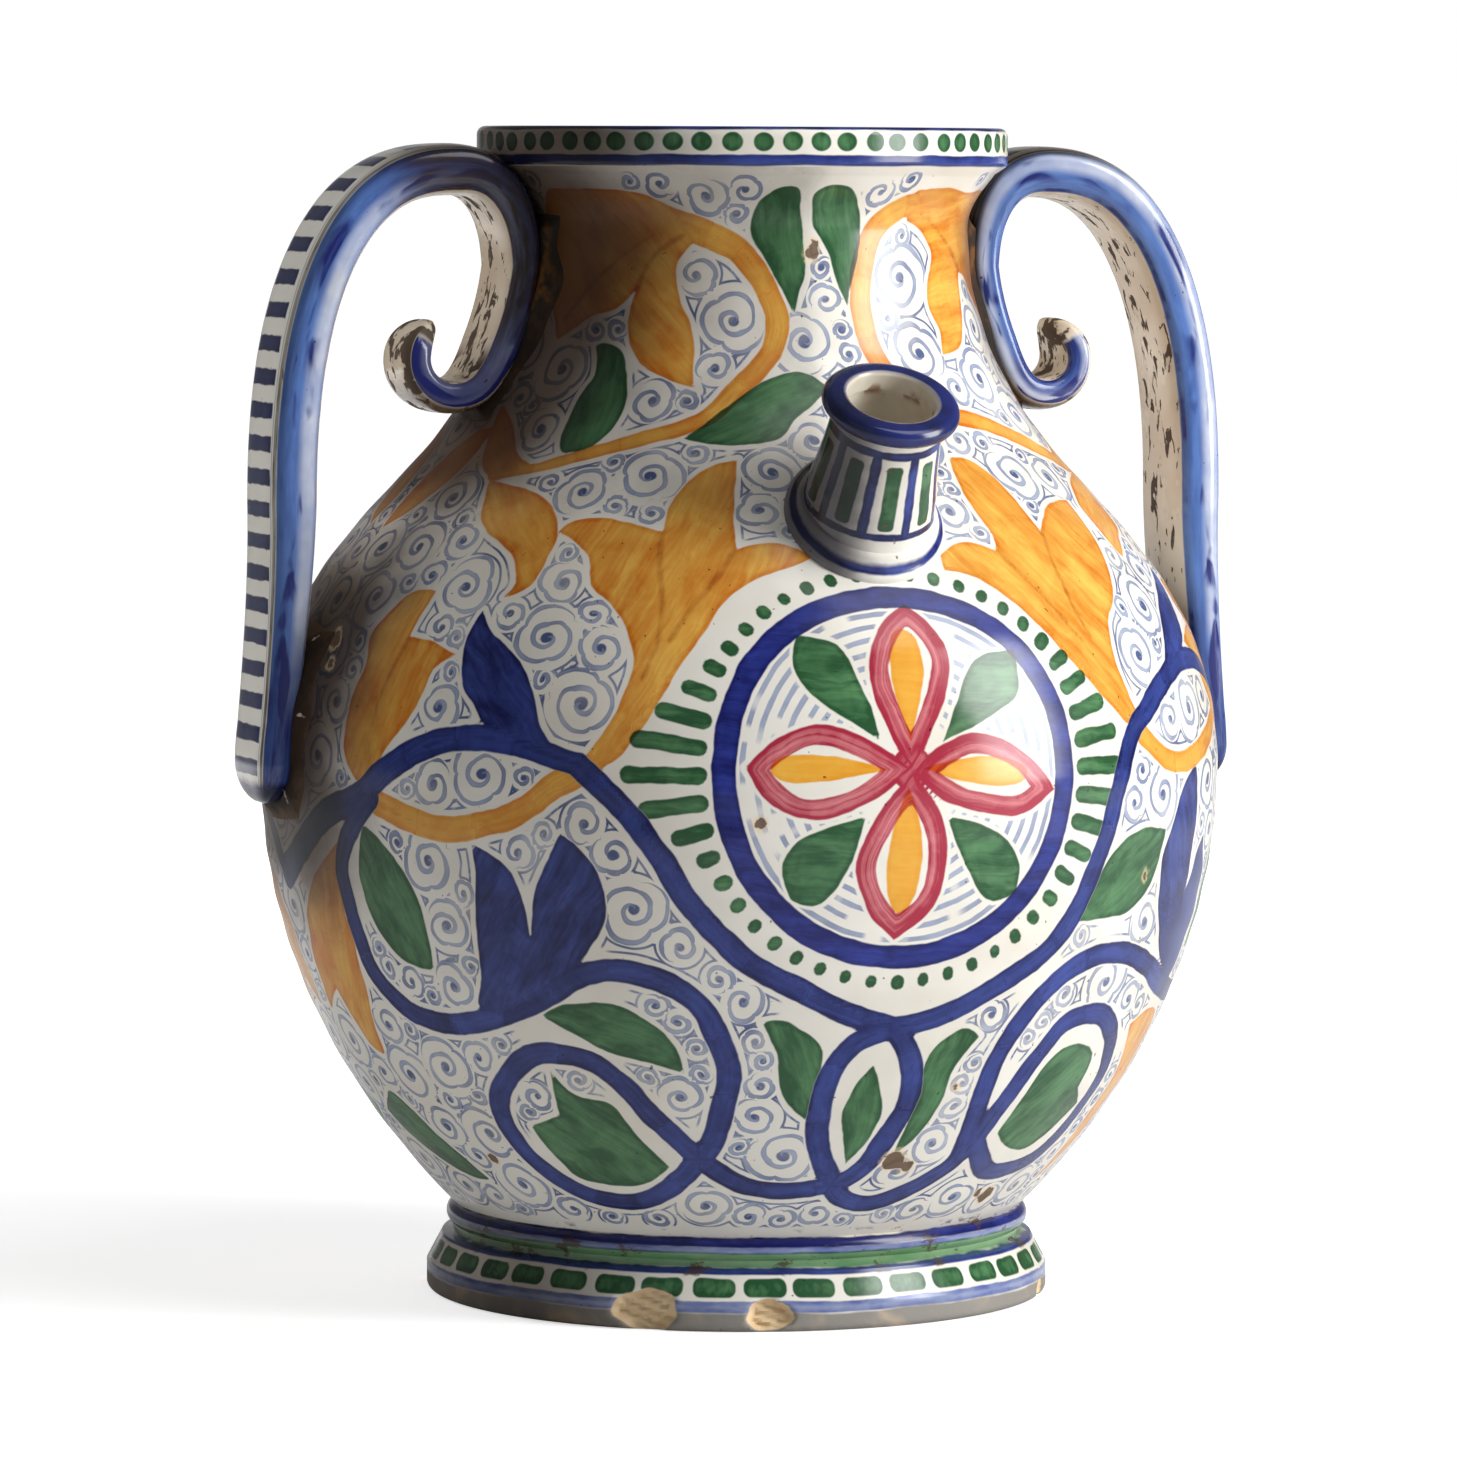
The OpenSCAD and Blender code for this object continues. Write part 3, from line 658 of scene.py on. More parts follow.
class Face:
    """The jar's painted skin as points, with the distance of each from every colour on it."""

    PAINTS = ("blue", "cobalt", "orange", "vein", "green", "pink", "petal", "yellow", "reserve", "scar")
    REACH = 9.0
    LOW_Z = 33
    HIGH_Z = 403
    WIDE_R = 170
    PART = 8
    PART_SHIFT = 20.0

    def __init__(self, points):
        self.points = points
        self.z = points[:, 2]
        self.turn = np.degrees(bearing(points))
        self.gap = {name: np.full(len(points), FAR) for name in self.PAINTS}
        self.nearest = np.full(len(points), FAR)
        self.lie = np.zeros((len(points), 3))

    def near(self, line, facing):
        """The points within reach of a line, with their degrees as that side of the jar counts them."""
        theta = half_turn(self.turn - facing)
        low, high = line.min(axis=0), line.max(axis=0)
        reach = self.REACH
        low_r = wall_r(max(low[1], self.LOW_Z))
        high_r = wall_r(min(high[1], self.HIGH_Z))
        wide = math.degrees(reach / min(low_r, high_r, self.WIDE_R))
        picked = (self.z > low[1] - reach) & (self.z < high[1] + reach)
        picked &= (theta > low[0] - wide) & (theta < high[0] + wide)
        return np.nonzero(picked)[0], theta

    def lay(self, name, picked, gap):
        self.gap[name][picked] = np.minimum(self.gap[name][picked], gap)

    def brush(self, picked, gap, lie):
        """Notes how the brush lay where no other shape is nearer: mm along it and across it."""
        nearer = gap < self.nearest[picked]
        at = picked[nearer]
        self.nearest[at] = gap[nearer]
        self.lie[at, :2] = lie[nearer]

    def stroke(self, name, facing, start_half, end_half, points, ready=False):
        """Lays a line of changing width, in parts. A ready line is already as fine as it needs to be."""
        line = points if ready else smooth_line(points, False)
        halves = np.linspace(start_half, end_half, len(line))
        for k in range(0, len(line) - 1, self.PART):
            part = line[k:k + self.PART + 1]
            picked, _ = self.near(part, facing)
            turned = part + np.array([facing, 0])
            gap = line_distance(self.points[picked], on_wall(turned), halves[k:k + self.PART + 1])
            self.lay(name, picked, gap)
            self.brush(picked, gap, np.stack([np.full(len(gap), self.PART_SHIFT * k), gap], axis=1))

    def leaf_gap(self, facing, points):
        """The points near a leaf and their distance from its edge, less than 0 inside."""
        line = smooth_line(points, True)
        picked, theta = self.near(line, facing)
        turned = np.concatenate([line, line[:1]]) + np.array([facing, 0])
        gap = line_distance(self.points[picked], on_wall(turned), np.zeros(len(turned)))
        gap[encloses(line, theta[picked], self.z[picked])] *= -1
        return picked, gap

    def leaf(self, name, facing, points):
        """Lays a leaf, brushed along its length."""
        picked, gap = self.leaf_gap(facing, points)
        self.lay(name, picked, gap)
        line = smooth_line(points, True)
        middle = line.mean(axis=0)
        r = float(wall_r(middle[1]))
        flat = np.stack([np.radians(line[:, 0] - middle[0]) * r, line[:, 1] - middle[1]], axis=1)
        longest = np.linalg.svd(flat, full_matrices=False)[2][0]
        theta = half_turn(self.turn[picked] - facing - middle[0])
        spot = np.stack([np.radians(theta) * r, self.z[picked] - middle[1]], axis=1)
        lie = np.stack([spot @ longest, spot @ np.array([-longest[1], longest[0]])], axis=1)
        self.brush(picked, gap, lie)

    def petal(self, facing, points, band):
        """Lays a petal as a band inside its edge."""
        picked, gap = self.leaf_gap(facing, points)
        self.lay("petal", picked, gap)
        self.lay("pink", picked, np.maximum(gap, -gap - band))

    def spot(self, name, theta, z, radius):
        middle = on_wall(np.array([[theta, z]]))
        self.gap[name] = np.minimum(self.gap[name], np.linalg.norm(self.points - middle, axis=1) - radius)


def medallion_place(angle, radius):
    """A place of the medallion's disc, given by angle from its right and radius in mm."""
    z = height_at(wall_arc(MEDALLION_Z) + radius * np.sin(angle))
    return np.stack([np.degrees(radius * np.cos(angle) / wall_r(z)), z], axis=1)


def dash_size(angle):
    """Length and half width of a dash around the medallion, largest at its two sides."""
    from_level = math.degrees(abs(math.asin(math.sin(angle))))
    longer, spread = RIGHT_DASHES
    if math.cos(angle) <= 0:
        longer, spread = UPPER_LEFT_DASHES if math.sin(angle) > 0 else LOWER_LEFT_DASHES
    length = DASH_SHORT + longer * math.exp(-(from_level / spread) ** 2)
    half = DASH_HALF + DASH_SWELL * math.exp(-(from_level / DASH_SWELL_SPREAD) ** 2)
    return length, half


def mirrored(points):
    return [(-p[0],) + tuple(p[1:]) for p in points]


def paint_side(face, facing):
    """Lays the whole ornament on one side of the jar, around its medallion."""
    for colour, stems, leaves, far_leaves in FOLIAGE:
        for start_half, end_half, points in stems:
            face.stroke(colour, facing, start_half, end_half, points)
        for points in leaves:
            face.leaf(colour, facing, points)
        for points in far_leaves:
            face.leaf(colour, facing, points)
            face.leaf(colour, facing, mirrored(points))
    for points in ORANGE_VEINS:
        face.stroke("vein", facing, *VEIN_HALVES, points)
    for points in PETALS:
        face.petal(facing, points, PINK_BAND)
    crossing = PETALS[0][0]
    face.spot("pink", facing + crossing[0], crossing[1], CROSSING_R)
    for points in PETAL_CORES:
        face.leaf("yellow", facing, points)
    face.leaf("reserve", facing, RESERVE)
    round_turn = np.linspace(0, 2 * math.pi, 121)
    ring = medallion_place(round_turn, np.full(len(round_turn), RING_R))
    face.stroke("cobalt", facing, RING_HALF, RING_HALF, ring, True)
    for k in range(DASHES):
        angle = 2 * math.pi * k / DASHES
        length, half = dash_size(angle)
        ends = medallion_place(np.full(2, angle), np.array([DASH_START_R, DASH_START_R + length]))
        face.stroke("green", facing, half, half, ends, True)


class Curls:
    """Round scrolls packed into the free ground, large ones first, each snug against its neighbours."""

    SIZES = (11.5, 10.2, 9.0, 7.8, 6.6, 5.6, 4.7, 3.9, 3.2)
    BETWEEN = 0.8

    def __init__(self, spots, free):
        dice = np.random.default_rng(SEED)
        room = free.copy()
        middles, sizes = [], []
        for size in self.SIZES:
            fits = np.nonzero(room >= size)[0]
            while len(fits):
                k = fits[np.argmin(room[fits])]
                room = np.minimum(room, np.linalg.norm(spots - spots[k], axis=1) - size - self.BETWEEN)
                middles.append(spots[k])
                sizes.append(size)
                fits = np.nonzero(room >= size)[0]
        self.middles = np.array(middles)
        self.radius = np.array(sizes)
        self.spin = dice.uniform(0, 2 * math.pi, len(sizes))
        self.hand = np.where(dice.random(len(sizes)) < 0.5, 1.0, -1.0)

    def nearest(self, spots):
        """The scroll whose edge is nearest to each spot, and how far off it is, less than 0 inside."""
        owner, gap = [], []
        for part in np.array_split(spots, max(1, len(spots) // 8000)):
            square = (part ** 2).sum(1)[:, None] + (self.middles ** 2).sum(1)[None]
            square = square - 2 * part @ self.middles.T
            off = np.sqrt(np.maximum(square, 0)) - self.radius
            owner.append(np.argmin(off, axis=1))
            gap.append(off.min(axis=1))
        return np.concatenate(owner), np.concatenate(gap)

    def corners(self, spots, points):
        """Each corner's place in the scroll of its face, and that scroll's radius. Spots are face middles."""
        owner, _ = self.nearest(spots)
        middle = self.middles[owner]
        offset = points - middle[:, None]
        turn = bearing(middle)
        rise = (wall_r(middle[:, 2] + 1) - wall_r(middle[:, 2] - 1)) / 2
        across = np.stack([np.cos(turn), np.sin(turn), np.zeros(len(turn))], axis=1)
        upward = np.stack([rise * np.sin(turn), -rise * np.cos(turn), np.ones(len(turn))], axis=1)
        upward /= np.linalg.norm(upward, axis=1)[:, None]
        x = (offset * across[:, None]).sum(2) * self.hand[owner][:, None]
        y = (offset * upward[:, None]).sum(2)
        c, s = np.cos(self.spin[owner])[:, None], np.sin(self.spin[owner])[:, None]
        size = self.radius[owner][:, None] * np.ones((1, points.shape[1]))
        return np.stack([x * c - y * s, x * s + y * c, size], axis=2)


# Meshes


BAKE_MARGIN = 0.008
BAKE_REST = 0.07


def column_angles(columns):
    return np.radians(-90 + np.arange(columns) * 360 / columns)


def unrolled(profile, i, j, columns, skin_rows, strips, closed):
    """The corners' places in the baked picture: the skin in strips, the rest in a low band under them."""
    length = run_lengths(profile)
    total = length[-1] + (np.linalg.norm(profile[0] - profile[-1]) if closed else 0)
    skin_low, skin_high = length[skin_rows[0]], length[skin_rows[1]]
    tall = (1 - BAKE_REST) / strips
    per_strip = columns // strips
    over = np.stack([j, j + 1, j + 1, j], axis=1)
    up = np.append(length, total)[np.stack([i, i, i + 1, i + 1], axis=1)]
    strip = np.minimum(j // per_strip, strips - 1)[:, None]
    share = (up - skin_low) / (skin_high - skin_low)
    u_skin = BAKE_MARGIN + (1 - 2 * BAKE_MARGIN) * (over - strip * per_strip) / per_strip
    v_skin = BAKE_REST + strip * tall + BAKE_MARGIN + (tall - 2 * BAKE_MARGIN) * share
    u_rest = BAKE_MARGIN + (1 - 2 * BAKE_MARGIN) * over / columns
    v_rest = BAKE_MARGIN + (BAKE_REST - 2 * BAKE_MARGIN) * up / total
    on_skin = ((i >= skin_rows[0]) & (i < skin_rows[1]))[:, None]
    places = np.stack([np.where(on_skin, u_skin, u_rest), np.where(on_skin, v_skin, v_rest)], axis=2)
    return places.reshape(-1, 2)


def turned_mesh(name, profile, columns, skin_rows, strips, closed):
    """A solid of revolution about the jar's axis. A profile that isn't closed gets a cap at each end."""
    rows = len(profile)
    r = np.repeat(profile[:, 0], columns)
    z = np.repeat(profile[:, 1], columns)
    points = around(r, np.tile(column_angles(columns), rows), z)
    i, j = np.meshgrid(np.arange(rows if closed else rows - 1), np.arange(columns), indexing="ij")
    i, j = i.ravel(), j.ravel()
    up, over = (i + 1) % rows, (j + 1) % columns
    quads = np.stack([i * columns + j, i * columns + over, up * columns + over, up * columns + j], axis=1)
    faces = [tuple(q) for q in quads.tolist()]
    uv = unrolled(profile, i, j, columns, skin_rows, strips, closed)
    if not closed:
        base, top = len(points), len(points) + 1
        points = np.concatenate([points, [[0, 0, profile[0, 1]], [0, 0, profile[-1, 1]]]])
        last = (rows - 1) * columns
        for k in range(columns):
            m = (k + 1) % columns
            faces.append((base, m, k))
            faces.append((top, last + k, last + m))
        middle = BAKE_REST / 2
        cap = np.array([[0.5, middle], [0.51, middle], [0.5, middle + 0.01]])
        uv = np.concatenate([uv, np.tile(cap, (2 * columns, 1))])
    mesh = bpy.data.meshes.new(name)
    mesh.from_pydata((points * MM).tolist(), [], faces)
    layer = mesh.uv_layers.new(name="OFBake")
    layer.data.foreach_set("uv", uv.astype(np.float32).ravel())
    mesh.update()
    return mesh, points, quads


def set_number(mesh, name, values, domain="POINT"):
    made = mesh.attributes.new(name, "FLOAT", domain)
    made.data.foreach_set("value", np.ascontiguousarray(values, np.float32))


def set_triple(mesh, name, values, domain="POINT"):
    made = mesh.attributes.new(name, "FLOAT_VECTOR", domain)
    made.data.foreach_set("vector", np.ascontiguousarray(values, np.float32).ravel())


def move_points(mesh, points):
    mesh.vertices.foreach_set("co", np.ascontiguousarray(points * MM, np.float32).ravel())
    mesh.update()


def shade(mesh, angle=35):
    mesh.polygons.foreach_set("use_smooth", np.ones(len(mesh.polygons), bool))
    mesh.set_sharp_from_angle(angle=math.radians(angle))


def put_in(name, data):
    """A new object of the scene."""
    made = bpy.data.objects.new(name, data)
    bpy.context.scene.collection.objects.link(made)
    return made


def stand_for(name, mesh, material, node):
    """Puts a finished mesh in the scene in place of a solid of the jar."""
    piece = put_in(name, mesh)
    mesh.materials.clear()
    mesh.materials.append(material)
    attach(piece, "root")
    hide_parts(node)


RIPPLE_LOW_Z = 36
RIPPLE_HIGH_Z = 398
RIPPLE_FADE = 20


def ripple(points):
    """How far the thrown wall strays from true, in mm: soft lumps and the rings of the fingers."""
    turn = bearing(points)
    z = points[:, 2]
    lumps = 0.35 * np.sin(2 * turn + 0.013 * z + 0.6) + 0.22 * np.sin(5 * turn - 0.03 * z + 2.0)
    rings = 0.16 * np.sin(z / 3.1 + 0.7 * np.sin(turn) + 1.3 * np.sin(z / 23))
    from_foot = np.clip((z - RIPPLE_LOW_Z) / RIPPLE_FADE, 0, 1)
    from_rim = np.clip((RIPPLE_HIGH_Z - z) / RIPPLE_FADE, 0, 1)
    return (lumps + rings) * from_foot * from_rim


def arc(centre, radius, start, end, steps):
    return np.array([np.array(centre) + radius * along(a) for a in np.linspace(start, end, steps + 1)])


def step_up(u):
    """The step in the middle of the wall where one thrown section laps over the next."""
    return np.array([wall_point(u, WALL / 2), wall_point(lapped(u), WALL / 2)])


SKIN_STEP = 1.5
FINE_STEP = 1.3
INNER_STEP = 12.0
AXIS_GAP = 0.5


def bowl_outline():
    """The lower bowl, from the middle of its underside round to its floor's, and its skin's rows."""
    skin = wall_run(0, 1, SKIN_STEP)
    inner = wall_run(lapped(0), lapped(1), INNER_STEP, WALL)[::-1]
    inner = inner[inner[:, 1] > FLOOR_Z + 3]
    bottom = np.array([[AXIS_GAP, FOOT_SEAT_Z], [60, FOOT_SEAT_Z], [FOOT_SEAT_R, FOOT_SEAT_Z]])
    floor = np.array([[inner[-1, 0] - 9, FLOOR_Z], [40, FLOOR_Z + 0.2], [AXIS_GAP, FLOOR_Z + 0.4]])
    outline = np.concatenate([bottom, skin, step_up(1.0), inner, floor])
    return outline, (len(bottom), len(bottom) + len(skin) - 1)


def thrown_outline(start, end, spacing):
    """A section of the wall between two laps, and its skin's rows."""
    skin = wall_run(start, end, spacing)
    inner = wall_run(lapped(start), lapped(end), INNER_STEP, WALL)[::-1]
    return np.concatenate([skin, step_up(end), inner, step_up(start)[::-1]]), (0, len(skin) - 1)


def rim_outline():
    """The banded rim from its lap over the lip into the mouth, and its skin's rows."""
    skin = wall_run(RIM_SEAM, THROAT, FINE_STEP)
    inner = wall_run(lapped(RIM_SEAM), THROAT, 4.0, WALL)[::-1]
    under = THROAT_Z + BAND_UNDER
    lip_z = JAR_H - LIP_ROUND
    band = np.array([[RIM_R - 0.6, under - 0.9], [RIM_R, under]])
    side = np.array([[RIM_R, z] for z in np.linspace(under + 1, lip_z - 1, 8)])
    outer_lip = arc((RIM_R - LIP_ROUND, lip_z), LIP_ROUND, 0, 90, 6)
    inner_lip = arc((MOUTH_R + LIP_ROUND, lip_z), LIP_ROUND, 90, 180, 6)
    mouth = np.array([[MOUTH_R, lip_z - 3], [MOUTH_R, inner[0, 1] + 1]])
    skin = np.concatenate([skin, band, side, outer_lip, inner_lip[:4]])
    outline = np.concatenate([skin, inner_lip[4:], mouth, inner, step_up(RIM_SEAM)[::-1]])
    return outline, (0, len(skin) - 1)


def foot_outline():
    """The foot ring from its rest over the flare, the hollow and the bead, and its skin's rows."""
    rest = arc((FOOT_R - FOOT_ROUND, FOOT_ROUND), FOOT_ROUND, 270, 360, 6)
    edge = np.array([[FOOT_R, z] for z in np.linspace(FOOT_ROUND + 1, FOOT_EDGE_H, 6)])
    t = np.linspace(0.1, 1, 9)
    flare = np.stack([FOOT_R + (FOOT_TOP_R - FOOT_R) * t, FOOT_EDGE_H + FOOT_FLARE_H * t], axis=1)
    hollow = np.array([[104.5, 21.2], [103.0, 21.6]])
    bead = arc(foot_joint - FOOT_BEAD_R * along(65), FOOT_BEAD_R, -60, 65, 14)
    seat = np.array([[FOOT_SEAT_R, FOOT_SEAT_Z], [FOOT_INNER_R, FOOT_SEAT_Z]])
    recess = np.array([[FOOT_INNER_R, 14], [FOOT_INNER_R, FOOT_ROUND]])
    inner_rest = arc((FOOT_INNER_R + FOOT_ROUND, FOOT_ROUND), FOOT_ROUND, 180, 270, 5)[1:]
    skin = np.concatenate([rest, edge, flare, hollow, bead])
    return np.concatenate([skin, seat, recess, inner_rest]), (0, len(skin) - 1)


def jar_outlines():
    """For each thrown piece: its outline and its skin's rows, columns, strips of skin, closed or not."""
    return {
        "lower_bowl": (*bowl_outline(), 720, 2, False),
        "shoulder_dome": (*thrown_outline(1.0, NECK_SEAM, SKIN_STEP), 720, 2, True),
        "neck_collar": (*thrown_outline(NECK_SEAM, RIM_SEAM, FINE_STEP), 480, 2, True),
        "mouth_rim": (*rim_outline(), 480, 4, True),
        "foot_ring": (*foot_outline(), 720, 4, True),
    }


def chipped(points):
    """How deep the chips of the foot's edge go at each point, in mm, and how far it is broken, 0 to 1."""
    turn = np.degrees(bearing(points))
    broken = np.zeros(len(points))
    for theta, z, wide, tall in CHIPS:
        x = np.radians(half_turn(turn - theta)) * CHIP_R / wide
        y = (points[:, 2] - z) / tall
        ragged = 0.06 * np.sin(3 * np.arctan2(y, x) + theta) + 0.03 * np.sin(7 * np.arctan2(y, x))
        reach = np.hypot(x, y) + ragged
        broken = np.maximum(broken, np.clip((1.0 - reach) * 3, 0, 1))
    broken *= off_axis(points) > 100
    return CHIP_DEPTH * broken * (0.8 + 0.2 * np.sin(points[:, 2] * 1.7 + turn)), broken


def smear_gap(points):
    """Distance along the wall from the nearest smear of luting clay, in mm, less than 0 on it."""
    across = np.abs(np.arctan2(points[:, 1], np.abs(points[:, 0]))) * off_axis(points)
    wide = across - STRAP_W / 2 - 3
    least = np.full(len(points), 60.0)
    for low, high in (BELLY_LUTE, NECK_LUTE):
        tall = np.maximum(low + 6 - points[:, 2], points[:, 2] - high + 6)
        outside = np.hypot(np.maximum(wide, 0), np.maximum(tall, 0))
        least = np.minimum(least, outside + np.minimum(np.maximum(wide, tall), 0))
    return least


# Where the round scrolls may lie, and the room in mm that counts as none, as open and as near
CURL_LOW_Z = 34.5
CURL_HIGH_Z = 405.5
CURL_CLEAR = 1.3
CURL_END_CLEAR = 0.5
CURL_UNDER_COLLAR = 3
NO_ROOM = -5
OPEN_ROOM = -1.5
NEAR_ROOM = -3


def free_ground(face, inside):
    """How much room the round scrolls have at each point, in mm, less than 0 where there is none."""
    taken = ("blue", "orange", "green", "reserve", "cobalt")
    free = np.minimum.reduce([face.gap[name] for name in taken]) - CURL_CLEAR
    free = np.minimum(free, np.minimum(face.z - CURL_LOW_Z, CURL_HIGH_Z - face.z) - CURL_END_CLEAR)
    spout_foot = on_wall(np.array([[0, SPOUT_Z]]))
    from_spout = np.linalg.norm(face.points - spout_foot, axis=1)
    free = np.minimum(free, from_spout - COLLAR_R + CURL_UNDER_COLLAR)
    free[inside] = NO_ROOM
    return free


DISC_REACH = 120


def medallion_disc(face):
    """Each point's place on the nearer medallion's disc, unrolled: mm across and mm up."""
    front = (face.turn + 90) % 360 < 180
    theta = np.where(front, face.turn, (face.turn + 360) % 360 - 180)
    z = np.clip(face.z, FOOT_H, THROAT_Z)
    up = wall_arc(z) - wall_arc(MEDALLION_Z)
    return np.stack([np.radians(theta) * wall_r(z), up, np.zeros(len(theta))], axis=1)


def build_walls():
    """Meshes of the five thrown pieces, with the ornament laid on their skin."""
    pieces = {}
    for name, (outline, skin_rows, columns, strips, closed) in jar_outlines().items():
        mesh, points, quads = turned_mesh(name + "_glazed", outline, columns, skin_rows, strips, closed)
        row = np.arange(len(points)) // columns
        hidden = (row < skin_rows[0]) | (row > skin_rows[1])
        pieces[name] = (mesh, points, hidden, quads)
    face = Face(np.concatenate([points for _, points, _, _ in pieces.values()]))
    for facing in (0, 180):
        paint_side(face, facing)
    for scar in SCARS:
        face.spot("scar", *scar)
    free = free_ground(face, np.concatenate([hidden for _, _, hidden, _ in pieces.values()]))
    middles, room, start = [], [], 0
    for _, points, _, quads in pieces.values():
        middles.append(points[quads].mean(axis=1))
        room.append(free[start:start + len(points)][quads].mean(axis=1))
        start += len(points)
    middles, room = np.concatenate(middles), np.concatenate(room)
    open_faces = room > OPEN_ROOM
    curls = Curls(middles[open_faces], room[open_faces])
    near = free > NEAR_ROOM
    curl_gap = np.full(len(free), FAR)
    curl_gap[near] = curls.nearest(face.points[near])[1]
    disc = medallion_disc(face)
    start, face_start = 0, 0
    for name, (mesh, points, hidden, quads) in pieces.items():
        part = slice(start, start + len(points))
        start += len(points)
        picked = np.nonzero(open_faces[face_start:face_start + len(quads)])[0]
        face_start += len(quads)
        scroll = np.tile([2 * FAR, 0.0, 0.0], (len(mesh.loops), 1))
        if len(picked):
            corner = points[quads[picked]]
            at = (picked[:, None] * 4 + np.arange(4)).ravel()
            scroll[at] = curls.corners(corner.mean(axis=1), corner).reshape(-1, 3)
        set_triple(mesh, "curl", scroll, "CORNER")
        set_number(mesh, "curl_gap", curl_gap[part])
        for colour, gap in face.gap.items():
            set_number(mesh, colour, gap[part])
        set_triple(mesh, "lie", face.lie[part])
        set_triple(mesh, "disc", np.clip(disc[part], -DISC_REACH, DISC_REACH))
        set_number(mesh, "disc_reach", np.minimum(np.linalg.norm(disc[part], axis=1), DISC_REACH))
        set_number(mesh, "smear", smear_gap(points))
        set_number(mesh, "inside", hidden.astype(float))
        moved = pushed(points, np.where(hidden, 0, ripple(points)))
        broken = np.zeros(len(points))
        if name == "foot_ring":
            depth, broken = chipped(points)
            moved = pushed(moved, -depth)
        set_number(mesh, "broken", broken)
        move_points(mesh, moved)
        shade(mesh)
    return {name: piece[0] for name, piece in pieces.items()}


# Finishes


def tin_ground(sheet, place):
    """The white tin glaze: warm, uneven, with fine dark pinholes."""
    cloud = sheet.noise(place, 14, 4, 0.6)
    speck = sheet.noise(place, 420, 1)
    ground = sheet.mix(sheet.fade(cloud, 0.4, 0.75) * 0.75, TIN_WHITE, TIN_CREAM)
    return sheet.mix(sheet.fade(speck, 0.77, 0.80) * 0.8, ground, SCAR_BROWN)


EDGE_SOFT = 0.35


def brushed(sheet, ground, gap, wander, tone, thin, thick):
    """Lays a brushed paint where the gap is less than 0, streaked, and darker at its edge."""
    edge = gap + wander
    mask = sheet.fade(edge, EDGE_SOFT, -EDGE_SOFT)
    pool = sheet.fade(edge, -2.4, -0.4) * 0.3
    colour = sheet.mix(sheet.low(sheet.high(tone + pool, 0.0), 1.0), thin, thick)
    return sheet.tint(mask, ground, colour), mask


def strokes(sheet, run, across, fine):
    """Brush marks that run one way, 0 to 1, from the place along the brush's path and across it in mm."""
    marks = sheet.noise(sheet.join(across * fine, run * 0.035, 0.0), 1.0, 3, 0.6, 0.6)
    return sheet.fade(marks, 0.34, 0.66)


